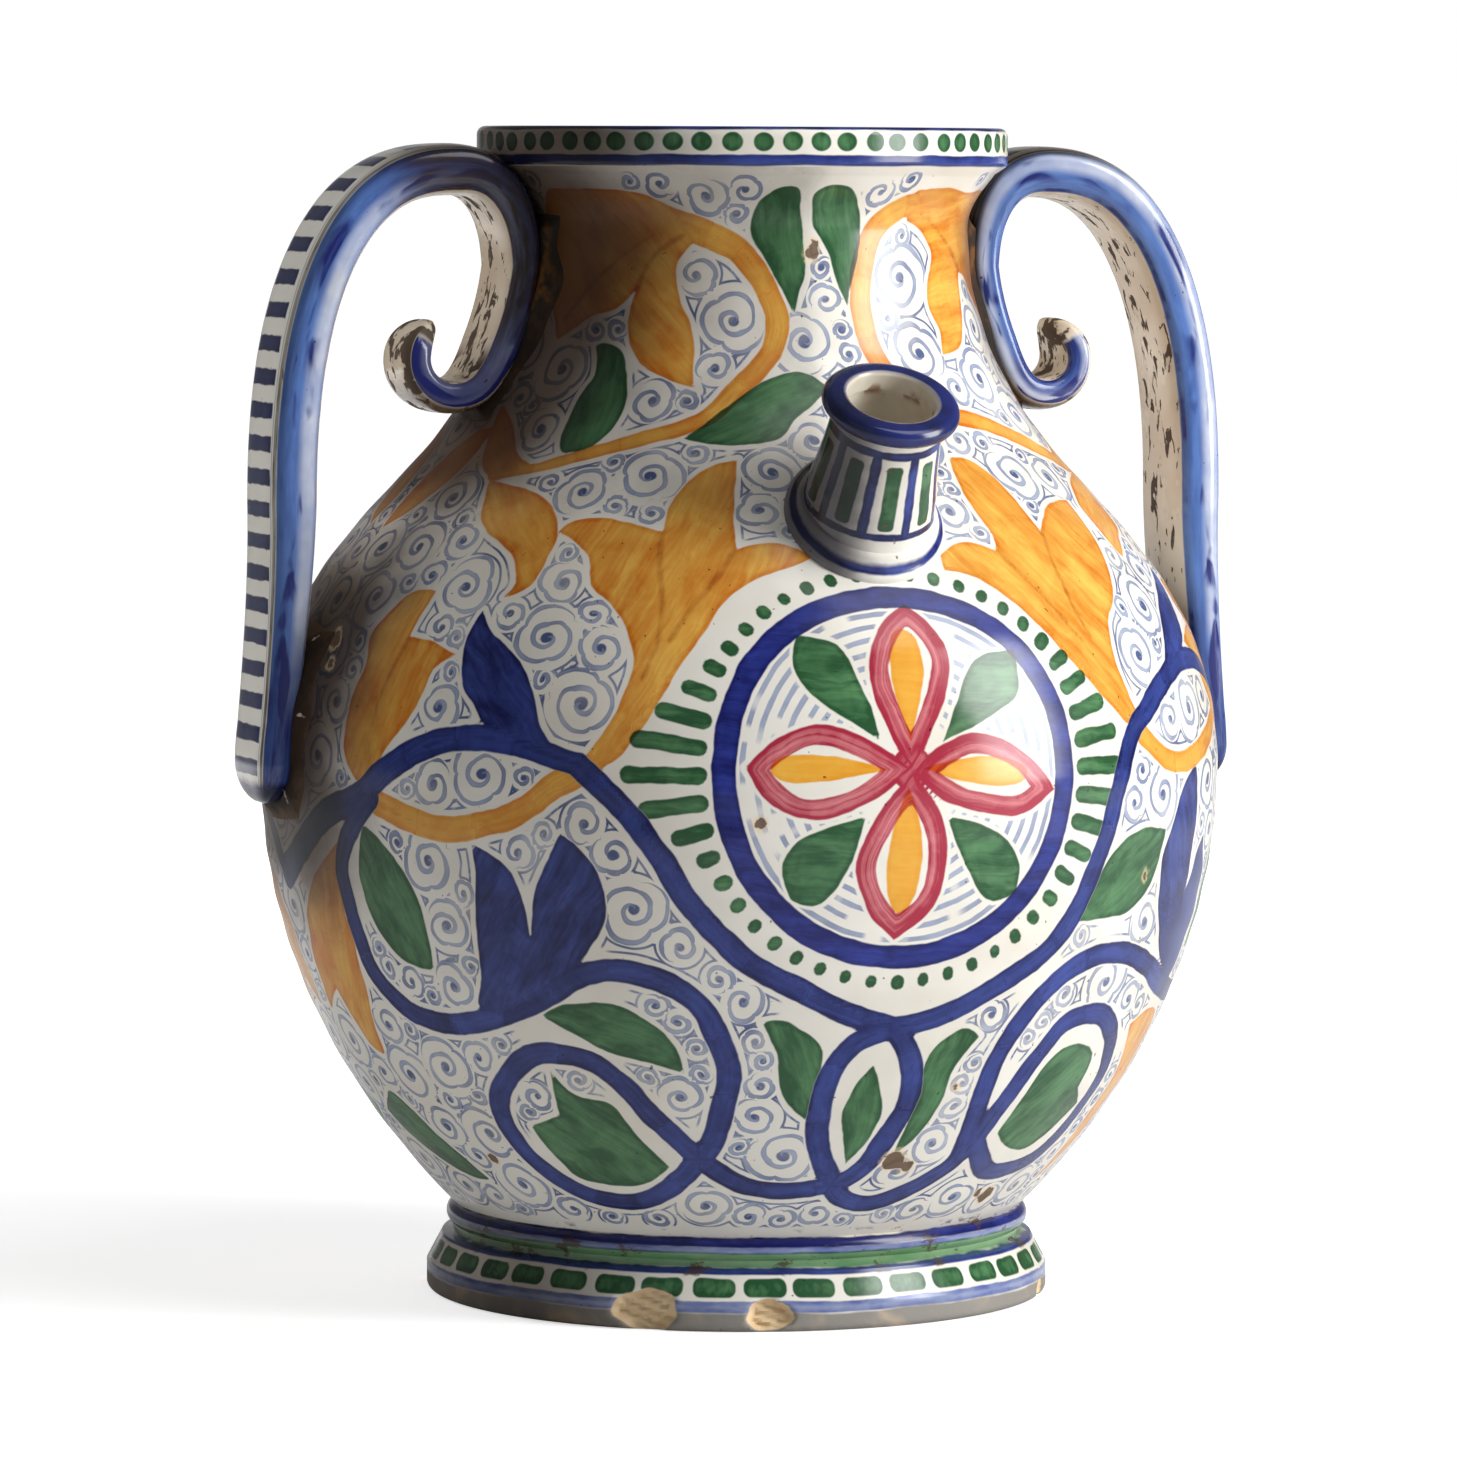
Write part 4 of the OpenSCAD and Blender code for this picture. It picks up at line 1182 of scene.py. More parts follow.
class JarSkin:
    """The painted finish of the thrown pieces, laid layer by layer over the white ground."""

    def __init__(self):
        self.material, s, place = finish_sheet("painted_glaze")
        self.s, self.place = s, place
        self.x, y, z = s.split(place)
        self.high = z * 1000.0
        self.turn = s.math("ARCTAN2", self.x, -y)
        self.white = tin_ground(s, place)
        self.wander = (s.noise(place, 95, 2) - 0.5) * 1.9
        self.drift = s.noise(place, 85, 2) - 0.5
        self.cloud = s.noise(place, 38, 3, 0.6, 0.6)
        self.clouded = s.fade(self.cloud, 0.3, 0.7)
        streak = s.noise(s.stretched(place, 1, 1, 0.22), 300, 2, 0.6)
        slant = s.noise(s.stretched(place, 0.3, 0.3, 1), 300, 2, 0.6)
        self.tone = self.clouded * 0.6 + s.fade(streak, 0.35, 0.7) * 0.4
        self.tone_across = self.clouded * 0.6 + s.fade(slant, 0.35, 0.7) * 0.4
        self.waver = (s.noise(place, 30, 2) - 0.5) * 1.6 + self.wander * 0.25
        self.level = self.high + self.waver
        self.ground = self.white

    def lay(self, gap, wander, tone, thin, thick):
        """Brushes a paint over what is there, and returns where it is."""
        self.ground, mask = brushed(self.s, self.ground, gap, wander, tone, thin, thick)
        return mask

    def draw_scrolls(self):
        """Pen lines on the free ground: a spiral with an eye in each round, and strokes between them."""
        s, place, drift = self.s, self.place, self.drift
        sway = s.noise(s.vector("ADD", place, (0.31, 0.17, 0.05)), 85, 2) - 0.5
        roam = s.noise(place, 34, 1) - 0.5
        stir = s.noise(s.vector("ADD", place, (0.11, 0.43, 0.29)), 34, 1) - 0.5
        x, y, radius = s.split(s.triple("curl"))
        x = x + drift * 2.6 + roam * 4
        y = y + sway * 2.6 + stir * 4
        reach = s.hypot(x, y)
        angle = s.math("ARCTAN2", y, x)
        swing = angle / (2 * math.pi) + 0.5
        lobes = s.math("SQRT", abs(s.math("SINE", angle * 1.5)))
        outer = s.fade(reach, radius * 0.55, radius * 0.85)
        wide = s.high(radius * (1.05 - (1 - lobes) * outer * 0.24), 0.5)
        pitch = s.low(s.high(5.8 / wide, 0.56), 0.92)
        arm = (1 - reach / wide) / pitch - swing * swing + 0.5
        arm = abs(s.math("FRACT", arm) - 0.5) * pitch * wide
        pen = 0.42 + s.noise(place, 130, 1) * 0.86
        spiral = s.fade(arm, pen + 0.3, pen - 0.25) * s.fade(reach - wide, 1.2, 0.8)
        eye = radius * 0.1
        eye = s.fade(reach + drift * 1.5, eye + 1.3, eye + 0.6) * s.fade(radius, 2, 3)
        nearest = s.number("reserve") + 0.4
        for colour in ("blue", "orange", "green", "cobalt"):
            nearest = s.low(nearest, s.number(colour))
        from_round = s.number("curl_gap")
        left = s.low(from_round - 1.5, nearest - 2.0) + drift
        filler = s.between(left, -0.1, 0.25, 0.8, 1.15) * s.between(self.high, 36, 37, 396, 398)
        filler = filler * s.fade(from_round, 7, 5)
        lines = s.high(s.high(spiral, eye), filler) * s.fade(nearest, 0.4, 0.8)
        lines = lines * (0.7 + 0.3 * s.fade(self.cloud, 0.3, 0.6))
        pooled = s.fade(arm, pen - 0.45, pen) * 0.5
        tone = s.fade(s.noise(place, 60, 2), 0.38, 0.72) * 0.6 + pooled + eye * 0.5
        colour = s.mix(s.low(tone, 1.0), LINE_THIN, LINE_THICK)
        self.ground = s.tint(lines, self.ground, colour)

    def hatch_medallion(self):
        """Broken rings of pale strokes behind the petals."""
        s = self.s
        across, up, _ = s.split(s.triple("disc"))
        reach = s.number("disc_reach") + self.drift * 1.6
        swing = s.math("ARCTAN2", up, across)
        row = s.math("FLOOR", reach / HATCH_PITCH)
        line = abs(s.math("FRACT", reach / HATCH_PITCH) - 0.5) * HATCH_PITCH
        dashed = s.fade(s.noise(s.join(swing * 1.6, row * 3.7, 0.0), 2.2, 1), 0.36, 0.44)
        hatch = s.fade(line, 1.15, 0.75) * s.between(reach, 20, 22, 58.5, 59.5) * dashed
        keep_out = s.fade(s.low(s.number("green"), s.number("petal")), 1.0, 1.8)
        colour = s.mix(s.fade(self.cloud, 0.4, 0.7) * 0.5, LINE_THIN, LINE_THICK)
        self.ground = s.tint(hatch * keep_out * 0.92, self.ground, colour)

    def paint_foliage(self):
        """Petals, leaves, stems and vines, streaked as the brush went. Returns where thick paint is."""
        s, drift, wander = self.s, self.drift, self.wander
        run, side_step, _ = s.split(s.triple("lie"))
        broad = strokes(s, run, side_step + drift * 5, 0.13)
        hair = strokes(s, run, side_step + drift * 3, 0.55)
        mottle = s.fade(s.noise(self.place, 70, 3, 0.6, 0.8), 0.34, 0.68)
        marks = broad * 0.46 + hair * 0.22 + mottle * 0.26 + self.clouded * 0.2 - 0.05

        def laid(name, lift, thin, thick):
            return self.lay(s.number(name), wander, marks + lift, thin, thick)

        petal = s.number("petal")
        hairs = strokes(s, self.turn * 100, petal + drift * 3, 0.7)
        petal_tone = hairs * 0.5 + mottle * 0.25 + s.fade(petal, -6, -1) * 0.4 + 0.12
        self.lay(s.number("pink"), wander, petal_tone, PINK_THIN, PINK_THICK)
        laid("yellow", -0.15, YELLOW_THIN, YELLOW_THICK)
        orange = laid("orange", -0.08, ORANGE_THIN, ORANGE_THICK)
        vein = s.fade(s.number("vein") + wander, 1.0, -0.6) * orange * (0.3 + 0.4 * mottle)
        self.ground = s.tint(vein, self.ground, VEIN_BROWN)
        green = laid("green", 0.15, GREEN_THIN, GREEN_THICK)
        covered = s.fade(s.number("blue") + wander, EDGE_SOFT, -EDGE_SOFT)
        self.ground = s.mix(covered * 0.8, self.ground, self.white)
        blue = laid("blue", 0.05, BLUE_THIN, BLUE_THICK)
        cobalt = laid("cobalt", 0.1, COBALT_THIN, COBALT_THICK)
        return s.high(s.high(blue, orange), s.high(green, cobalt))

    def row_of(self, count, shift):
        """For a row of marks around the jar: the place in a mark's stretch, and the mark's own stray."""
        s = self.s
        row = self.turn * (count / (2 * math.pi))
        number = s.math("FLOOR", row) + shift
        stray = s.out("ShaderNodeTexWhiteNoise", {"noise_dimensions": "1D"}, {"W": number})
        return s.math("FRACT", row) - 0.5, stray

    def paint_rim(self):
        """Green dots between blue lines on the white band of the mouth. Returns where the band is."""
        s, level = self.s, self.level
        rim = s.fade(self.high, 405.8, 406.4)
        self.ground = s.mix(rim, self.ground, self.white)
        at, stray = self.row_of(RIM_DOTS, 0.0)
        dot_x = (at + (stray - 0.5) * 0.18) * 10.3
        dot_y = (level - 414.8) * (1.06 + stray * 0.1)
        dot = s.high(s.hypot(dot_x, dot_y) - 3.55 - stray * 0.3, 407 - self.high)
        self.lay(dot, self.wander * 0.4, self.tone + 0.2, GREEN_THIN, GREEN_THICK)
        line = abs(level - 408.3) - 1.9
        self.lay(line, self.wander * 0.3, self.tone_across * 0.7, BLUE_THIN, BLUE_THICK)
        self.lay(418.9 - level, self.wander * 0.4, self.tone_across, BLUE_THIN, BLUE_THICK)
        return rim

    def paint_foot(self):
        """Rings, green dashes and wear on the foot, and painted shade on its left. Returns where its clay is
        bare.
        """
        s, high, level, across = self.s, self.high, self.level, self.tone_across
        wander = self.wander * 0.4
        foot = s.fade(high, 32.6, 32.2)
        self.ground = s.mix(foot, self.ground, self.white)
        rings = (
            (30.4, 1.6, across + 0.3, COBALT_THIN, COBALT_THICK),
            (27.7, 1.2, across * 0.6, LINE_THIN, BLUE_THIN),
            (24.2, 2.7, across, FOOT_GREEN, GREEN_THIN),
            (20.5, 1.0, across * 0.7, BLUE_THIN, COBALT_THICK),
            (8.9, 2.0, across * 0.7, LINE_THIN, BLUE_THIN),
        )
        for middle, half, tone, thin, thick in rings:
            self.lay(abs(level - middle) - half, wander, tone, thin, thick)
        at, stray = self.row_of(FOOT_DASHES, 0.5)
        dash_x = s.high(abs((at + (stray - 0.5) * 0.08) * 18.2) - 4.9, 0.0)
        dash_y = s.high(abs(level - 15.2) - 0.4, 0.0)
        self.lay(s.hypot(dash_x, dash_y) - 2.7, wander, self.tone + 0.25, GREEN_THIN, GREEN_THICK)
        worn = s.fade(high + self.waver * 2, 7.6, 6.2)
        clay = s.mix(s.fade(self.cloud, 0.5, 0.8) * 0.7, CLAY_GREY, CLAY_SAND)
        self.ground = s.mix(worn * 0.85, self.ground, clay)
        rubbed = s.noise(s.join(self.turn * 9, high * 0.16, 0.0), 1.0, 4, 0.65)
        rubbed = s.fade(rubbed, 0.57, 0.63) * s.between(high, 18, 20, 33, 36)
        self.ground = s.mix(rubbed * 0.8, self.ground, s.mix(self.cloud, SCAR_AND_SHADE_BLACK, SCAR_BROWN))
        # Painted shade: the left side of the foot darkened with brown
        self.ground = s.tint(foot * s.fade(self.x, -0.06, -0.10) * 0.75, self.ground, SMEAR_AND_SHADE_BROWN)
        return worn

    def stain(self, rim):
        """Brown stains with painted shade by the luting clay, more on the left, and painted shade on the
        rim's left. Returns the former.
        """
        s = self.s
        gap = s.number("smear") + (s.noise(self.place, 42, 3) - 0.5) * 26
        # Painted shade: on the left, the side away from the light, the stain reaches further and is darker
        right = s.fade(self.x, -0.01, 0.01)
        reach = 60 + s.fade(self.high, 270, 300) * (26 - right * 6) - right * 36
        stain = s.fade(gap, reach, reach * 0.2) * (0.95 - 0.2 * right) * (1 - rim)
        self.ground = s.tint(stain, self.ground, STAIN_AND_SHADE_BROWN)
        # Painted shade on the left part of the rim
        self.ground = s.tint(rim * s.fade(self.x, -0.035, -0.08) * 0.9, self.ground, STAIN_AND_SHADE_BROWN)
        return stain

    def bare_clay(self):
        """Scars, chips and the plain inside. Returns where the scars and the chips are."""
        s, place = self.s, self.place
        gap = s.number("scar") + (s.noise(place, 260, 3) - 0.5) * 5
        scar = s.fade(gap, 0.3, -0.3)
        self.ground = s.mix(s.fade(gap, 1.8, 0.2) * 0.5, self.ground, CLAY_BUFF)
        self.ground = s.mix(scar * 0.9, self.ground, SCAR_BROWN)
        broken = s.fade(s.number("broken"), 0.12, 0.35)
        clay = s.mix(s.fade(s.noise(place, 90, 3), 0.4, 0.7), CLAY_BUFF, CLAY_SAND)
        self.ground = s.mix(broken, self.ground, clay)
        inside = s.fade(s.number("inside"), 0.3, 0.7)
        cream = s.mix(s.fade(s.noise(place, 22, 3), 0.35, 0.7), TIN_CREAM, INSIDE_TAN)
        self.ground = s.mix(inside, self.ground, cream)
        return scar, broken


def painted_glaze():
    skin = JarSkin()
    skin.draw_scrolls()
    skin.hatch_medallion()
    paint = skin.paint_foliage()
    rim = skin.paint_rim()
    worn = skin.paint_foot()
    # Brown stains with painted shade by the luting clay, and painted shade on the rim's left
    stain = skin.stain(rim)
    scar, broken = skin.bare_clay()
    s, place = skin.s, skin.place
    bare = s.high(s.high(broken, scar), worn)
    rough = 0.13 + s.noise(place, 60, 3) * 0.14 + bare * 0.5 + stain * 0.3
    grain = s.noise(place, 300, 2) * (0.06 + bare * 0.5)
    relief = s.noise(place, 55, 2) * 0.5 + paint * 0.08 - scar * 0.5 + grain
    close_sheet(s, skin.ground, rough, relief, 0.35, 0.0006, 0.38)
    return skin.material


# Spout


def spout_place(local, tilt):
    """Turns points in a spout piece's own frame, its Z along its axis, to their places on the jar."""
    lean = math.radians(tilt)
    foot = np.array([0.0, -float(wall_r(SPOUT_Z)), SPOUT_Z])
    across = np.array([1.0, 0.0, 0.0])
    back = np.array([0.0, math.sin(lean), math.cos(lean)])
    out = np.array([0.0, -math.cos(lean), math.sin(lean)])
    return foot + local @ np.stack([across, back, out])


def wall_start(angle, radius, tilt):
    """How far along its axis a spout piece comes out of the jar's wall, for each angle round it."""
    low, high = np.full(len(angle), -14.0), np.full(len(angle), 16.0)
    for _ in range(30):
        middle = (low + high) / 2
        spot = spout_place(around(radius, angle, middle), tilt)
        out = off_axis(spot) > wall_r(spot[:, 2])
        high = np.where(out, middle, high)
        low = np.where(out, low, middle)
    return high


SPOUT_COLUMNS = 144
SPOUT_SINK = -2.5


def spout_piece(node, profile, skin_rows, tilt, sink_rows, material):
    """A turned piece of the spout. The rows in sink_rows follow the jar's wall, over or under it."""
    name = node + "_glazed"
    mesh, local, _ = turned_mesh(name, profile, SPOUT_COLUMNS, skin_rows, 2, True)
    angle = column_angles(SPOUT_COLUMNS)
    for row, (share, lift) in sink_rows.items():
        part = slice(row * SPOUT_COLUMNS, (row + 1) * SPOUT_COLUMNS)
        start = wall_start(angle, profile[row, 0], tilt) + lift
        local[part, 2] = start + (profile[row, 1] - start) * share
    lean = math.radians(SPOUT_TILT - tilt)
    back = local[:, 1] * math.cos(lean) + local[:, 2] * math.sin(lean)
    up = local[:, 2] * math.cos(lean) - local[:, 1] * math.sin(lean)
    set_triple(mesh, "spout", np.stack([local[:, 0], back, up], axis=1))
    set_number(mesh, "collar", np.full(len(local), 1.0 if tilt == COLLAR_TILT else 0.0))
    set_triple(mesh, "own", local)
    move_points(mesh, spout_place(local, tilt))
    shade(mesh, 50)
    stand_for(name, mesh, material, node)


def build_spout(material):
    up = np.linspace(-2, SPOUT_L, 34)
    share = up / SPOUT_L
    waist_in = 0.9 * np.sin(np.pi * np.clip(share, 0, 1))
    outer = np.stack([SPOUT_BASE_R + (SPOUT_TOP_R - SPOUT_BASE_R) * share - waist_in, up], axis=1)
    bore_up = np.linspace(SPOUT_L, -2, 16)
    bore = np.stack([np.full(len(bore_up), SPOUT_BORE_R), bore_up], axis=1)
    tube = np.concatenate([outer, bore])
    sunk = {}
    for row, z in enumerate(tube[:, 1]):
        if z < 14:
            sunk[row] = (max(0.0, (z + 2) / 16), SPOUT_SINK)
    spout_piece("spout_tube", tube, (0, len(outer) - 1), SPOUT_TILT, sunk, material)

    collar = np.array([
        [COLLAR_R, -2], [COLLAR_R + 0.2, 0], [COLLAR_R, 0.8], [COLLAR_R - 0.6, 1.6],
        [COLLAR_R - 1.6, 2.3], [COLLAR_R - 2.8, COLLAR_H - 0.6], [24.8, COLLAR_H + 0.4],
        [23.9, COLLAR_H + 1.6],
        [COLLAR_BORE_R, COLLAR_H + 1.8], [COLLAR_BORE_R, 1.0], [COLLAR_BORE_R, -2],
    ])
    last = len(collar) - 1
    sunk = {0: (0.0, SPOUT_SINK), 1: (0.0, 0.3), 2: (0.0, 1.1), 3: (0.0, 1.9), 4: (0.1, 2.5),
            5: (0.3, 3.0), last: (0.0, SPOUT_SINK)}
    spout_piece("spout_collar", collar, (0, last - 2), COLLAR_TILT, sunk, material)

    bead = SPOUT_LIP_H / 2
    roll = arc((SPOUT_LIP_R - bead, SPOUT_L + bead), bead, -90, 90, 18)
    edge = arc((STOPPER_R + 1.5, SPOUT_L + SPOUT_LIP_H - 1.5), 1.5, 90, 180, 6)
    inner = np.array([[STOPPER_R, SPOUT_L + 4], [STOPPER_R, SPOUT_L]])
    lip = np.concatenate([roll, edge, inner])
    spout_piece("spout_lip", lip, (0, len(roll) + len(edge)), SPOUT_TILT, {}, material)


SPOUT_STRIPES = 9
STRIPE_MIDDLE = 20.8


def spout_glaze():
    material, s, place = finish_sheet("spout_glaze")
    white = tin_ground(s, place)
    wander = (s.noise(place, 160, 2) - 0.5) * 1.1
    cloud = s.noise(place, 60, 3, 0.6)
    tone = s.fade(cloud, 0.3, 0.7)
    x, y, up = s.split(s.triple("spout"))
    reach = s.hypot(x, y)
    turn = s.math("ARCTAN2", x, -y) * (SPOUT_STRIPES / (2 * math.pi)) + 0.63
    width = reach * (2 * math.pi / SPOUT_STRIPES)
    from_middle = abs(up - STRIPE_MIDDLE)
    green_x = s.high(abs(s.math("FRACT", turn) - 0.5) * width - 1.2, 0.0)
    green = s.hypot(green_x, s.high(from_middle - 10.4, 0.0)) - 1.6
    blue = s.high(abs(s.math("FRACT", turn + 0.5) - 0.5) * width - 1.8, from_middle - 15.8)
    rings = s.low(abs(up - 37.0) - 1.6, abs(up - 6.2) - 1.3)
    ground, _ = brushed(s, white, green, wander, tone + 0.2, GREEN_THIN, GREEN_THICK)
    ground, _ = brushed(s, ground, s.low(blue, rings), wander, tone, BLUE_THIN, BLUE_THICK)
    own_x, own_y, own_up = s.split(s.triple("own"))
    collar = s.number("collar")
    edge = s.high(abs(s.hypot(own_x, own_y) - 26.4) - 1.0, 0.5 - collar)
    ground = s.mix(s.fade(collar, 0.4, 0.6), ground, white)
    ground, _ = brushed(s, ground, edge, wander * 0.5, tone, BLUE_THIN, COBALT_THICK)
    lip = s.fade(up, SPOUT_L - 0.1, SPOUT_L + 0.3)
    deep = s.tint(1.0, white, s.mix(tone * 0.35 + 0.65, COBALT_THIN, BAR_NAVY))
    ground = s.mix(lip, ground, deep)
    top = SPOUT_L + SPOUT_LIP_H
    bore = s.fade(reach + wander * 0.3, SPOUT_BORE_R + 0.8, SPOUT_BORE_R + 0.1)
    bore = bore * s.fade(own_up, top + 0.5, top - 1)
    stain = s.fade(s.noise(s.stretched(place, 1, 1, 0.6), 120, 3), 0.54, 0.66)
    stain = stain * s.fade(abs(up - SPOUT_L), 3.5, 0.5)
    cream = s.mix(s.fade(cloud, 0.4, 0.7), TIN_CREAM, BORE_TAN)
    cream = s.mix(stain * 0.8, cream, BORE_RUST)
    ground = s.mix(bore, ground, cream)
    # Painted shade: the spout's left side darkened with navy
    shade_left_of_spout = s.fade(x + wander * 4, -2, -17) * (1 - bore) * (1 - lip * 0.5)
    ground = s.tint(shade_left_of_spout * 0.9, ground, SHADE_NAVY)
    wear = s.fade(s.noise(place, 120, 4, 0.65), 0.69, 0.72)
    ground = s.mix(wear * 0.7, ground, SCAR_BROWN)
    rough = 0.11 + s.noise(place, 80, 2) * 0.14 + wear * 0.4
    relief = s.noise(place, 90, 2) * 0.5 - wear * 0.4
    close_sheet(s, ground, rough, relief, 0.3, 0.0005)
    return material


# Straps


def strap_line():
    """Middle line of the right strap in (radius, height), and the shares where its stretches end."""

    def lying(z, thick):
        return np.array([float(wall_r(z)) + thick / 2 - STRAP_BITE, z])

    def quarter(foot):
        """From a foot of the arch up to its highest point, fuller than an ellipse."""
        angle = np.radians(np.linspace(0, 90, 41))
        r = ARCH_R + (foot[0] - ARCH_R) * np.cos(angle) ** ARCH_FULLNESS
        z = foot[1] + (ARCH_Z - foot[1]) * np.sin(angle) ** ARCH_FULLNESS
        return np.stack([r, z], axis=1)

    limb = np.array([LIMB_R, LIMB_Z])
    scroll = np.array([SCROLL_AXIS_R, SCROLL_Z])
    leave = lying(BELLY_LEAVE_Z, FOOT_STRAP_T)
    let_go = lying(NECK_LEAVE_Z, NECK_STRAP_T)
    lowest = scroll - SCROLL_R * UP
    down = lying(NECK_LEAVE_Z - 1, NECK_STRAP_T) - let_go
    down = down / np.linalg.norm(down)
    rising = (leave, leave + np.array([-3.0, 26.0]), limb - 26 * UP, limb)
    turning = (let_go, let_go + 12 * down, lowest - np.array([10.0, 0.0]), lowest)
    on_belly = [lying(z, FOOT_STRAP_T) for z in np.linspace(STRAP_END_Z, BELLY_LEAVE_Z, 12)]
    free_limb = [bezier(rising, t) for t in np.linspace(0, 1, 24)[1:]]
    on_neck = [lying(z, NECK_STRAP_T) for z in np.linspace(NECK_MEET_Z, NECK_LEAVE_Z, 9)[1:]]
    curled = [bezier(turning, t) for t in np.linspace(0, 1, 14)[1:]]
    curled += [scroll + SCROLL_R * along(a) for a in np.linspace(-90, SCROLL_TIP, 28)[1:]]
    over = list(quarter(limb))[1:]
    inward = list(quarter(lying(NECK_MEET_Z, NECK_STRAP_T)))[-2::-1]
    stretches = (on_belly, free_limb, over, inward, on_neck, curled)
    run = np.concatenate(stretches)
    length = run_lengths(run)
    ends = np.cumsum([len(stretch) for stretch in stretches]) - 1
    return run, length[ends] / length[-1]


STRAP_STEPS = 420
STRAP_SIDES = 73
STRAP_INPUTS = {
    "Geometry": ("Line",),
    "Float": ("Width", "Foot Thickness", "Thickness", "Neck Thickness", "Tip Width", "Tip Thickness",
              "Leaves Belly", "Limb Top", "Arch Top", "Meets Neck", "Leaves Neck", "End Length",
              "Squareness"),
    "Int": ("Steps", "Sides"),
    "Material": ("Finish",),
}


def strap_tree():
    """Geometry nodes that pull a strap along a line, with a rounded section and round ends."""
    tree = bpy.data.node_groups.new("pulled_strap", "GeometryNodeTree")
    sockets = {}
    for kind, names in STRAP_INPUTS.items():
        for name in names:
            made = tree.interface.new_socket(name, in_out="INPUT", socket_type="NodeSocket" + kind)
            sockets[name] = made.identifier
    tree.interface.new_socket("Strap", in_out="OUTPUT", socket_type="NodeSocketGeometry")
    g = Sheet(tree)
    group = g.node("NodeGroupInput")
    given = {socket.name: Value(g, socket) for socket in group.outputs if socket.name}
    curve = g.out("GeometryNodeMeshToCurve", None, {"Mesh": given["Line"]})
    length = g.out("GeometryNodeCurveLength", None, {"Curve": curve})
    size = {"Size X": 1.0, "Size Y": 1.0, "Vertices X": given["Steps"], "Vertices Y": given["Sides"]}
    kept = g.out("GeometryNodeMeshGrid", None, size, "Mesh")
    u, v, _ = g.split(g.out("GeometryNodeInputPosition"))
    u = u + 0.5
    angle = (v + 0.5) * (2 * math.pi)
    sample = g.node("GeometryNodeSampleCurve", {"mode": "FACTOR", "use_all_curves": True},
                    {"Curves": curve, "Factor": u})
    spot = Value(g, sample.outputs["Position"])
    way = Value(g, sample.outputs["Tangent"])
    outward = g.vector("NORMALIZE", g.vector("CROSS_PRODUCT", (0.0, 1.0, 0.0), way))

    def ramp(start, end, low, high):
        return g.out("ShaderNodeMapRange", None, {0: u, 1: start, 2: end, 3: low, 4: high})

    thick = ramp(given["Leaves Belly"], given["Limb Top"], given["Foot Thickness"], given["Thickness"])
    thinned = given["Neck Thickness"] - given["Thickness"]
    thick = thick + ramp(given["Arch Top"], given["Meets Neck"], 0.0, thinned)
    thick = thick + ramp(given["Leaves Neck"], 1.0, 0.0, given["Tip Thickness"] - given["Neck Thickness"])
    width = ramp(given["Leaves Neck"], 1.0, given["Width"], given["Tip Width"])
    from_end = g.low(g.low(u, 1 - u) * length / given["End Length"], 1.0)
    left = 1 - from_end
    taper = g.math("SQRT", g.high(1 - left * left, 0.0))

    def swell(value):
        return g.math("SIGN", value) * g.math("POWER", abs(value), given["Squareness"])

    rise = swell(g.math("COSINE", angle))
    across = swell(g.math("SINE", angle))
    sideways = g.join(0.0, across * width * taper * 0.5, 0.0)
    lift = {0: outward, "Scale": rise * thick * taper * 0.5}
    out = g.out("ShaderNodeVectorMath", {"operation": "SCALE"}, lift)
    moved = g.vector("ADD", g.vector("ADD", spot, sideways), out)
    from_start = u * length * 1000.0
    to_tip = (1 - u) * length * 1000.0
    stored = {"along": from_start, "to_tip": to_tip, "across": across, "rise": rise}
    for name, value in stored.items():
        kept = g.out("GeometryNodeStoreNamedAttribute", {"data_type": "FLOAT", "domain": "POINT"},
                     {"Geometry": kept, "Name": "strap_" + name, "Value": value})
    bake_place = g.join(u, v + 0.5, 0.0)
    kept = g.out("GeometryNodeStoreNamedAttribute", {"data_type": "FLOAT2", "domain": "CORNER"},
                 {"Geometry": kept, "Name": "OFBake", "Value": bake_place})
    kept = g.out("GeometryNodeSetPosition", None, {"Geometry": kept, "Position": moved})
    kept = g.out("GeometryNodeMergeByDistance", None, {"Geometry": kept, "Distance": 0.00002})
    kept = g.out("GeometryNodeRealizeInstances", None, {"Geometry": kept})
    kept = g.out("GeometryNodeSetMaterial", None, {"Geometry": kept, "Material": given["Finish"]})
    g.node("NodeGroupOutput", None, {0: kept})
    return tree, sockets


def fold_layout(mesh):
    """Cuts the unrolled strap in two for the bake, its lower half under its upper half."""
    layer = mesh.uv_layers["OFBake"]
    uv = np.zeros(len(mesh.loops) * 2, np.float32)
    layer.data.foreach_get("uv", uv)
    uv = uv.reshape(-1, 2)
    starts = np.zeros(len(mesh.polygons), int)
    counts = np.zeros(len(mesh.polygons), int)
    mesh.polygons.foreach_get("loop_start", starts)
    mesh.polygons.foreach_get("loop_total", counts)
    mean = np.add.reduceat(uv[:, 0], starts) / counts
    strip = np.repeat((mean > 0.5).astype(float), counts)
    u = np.clip((uv[:, 0] * 2 - strip) * 0.98 + 0.01, 0, 1)
    v = (uv[:, 1] * 0.96 + 0.02) * 0.49 + strip * 0.5
    layer.data.foreach_set("uv", np.stack([u, v], axis=1).astype(np.float32).ravel())


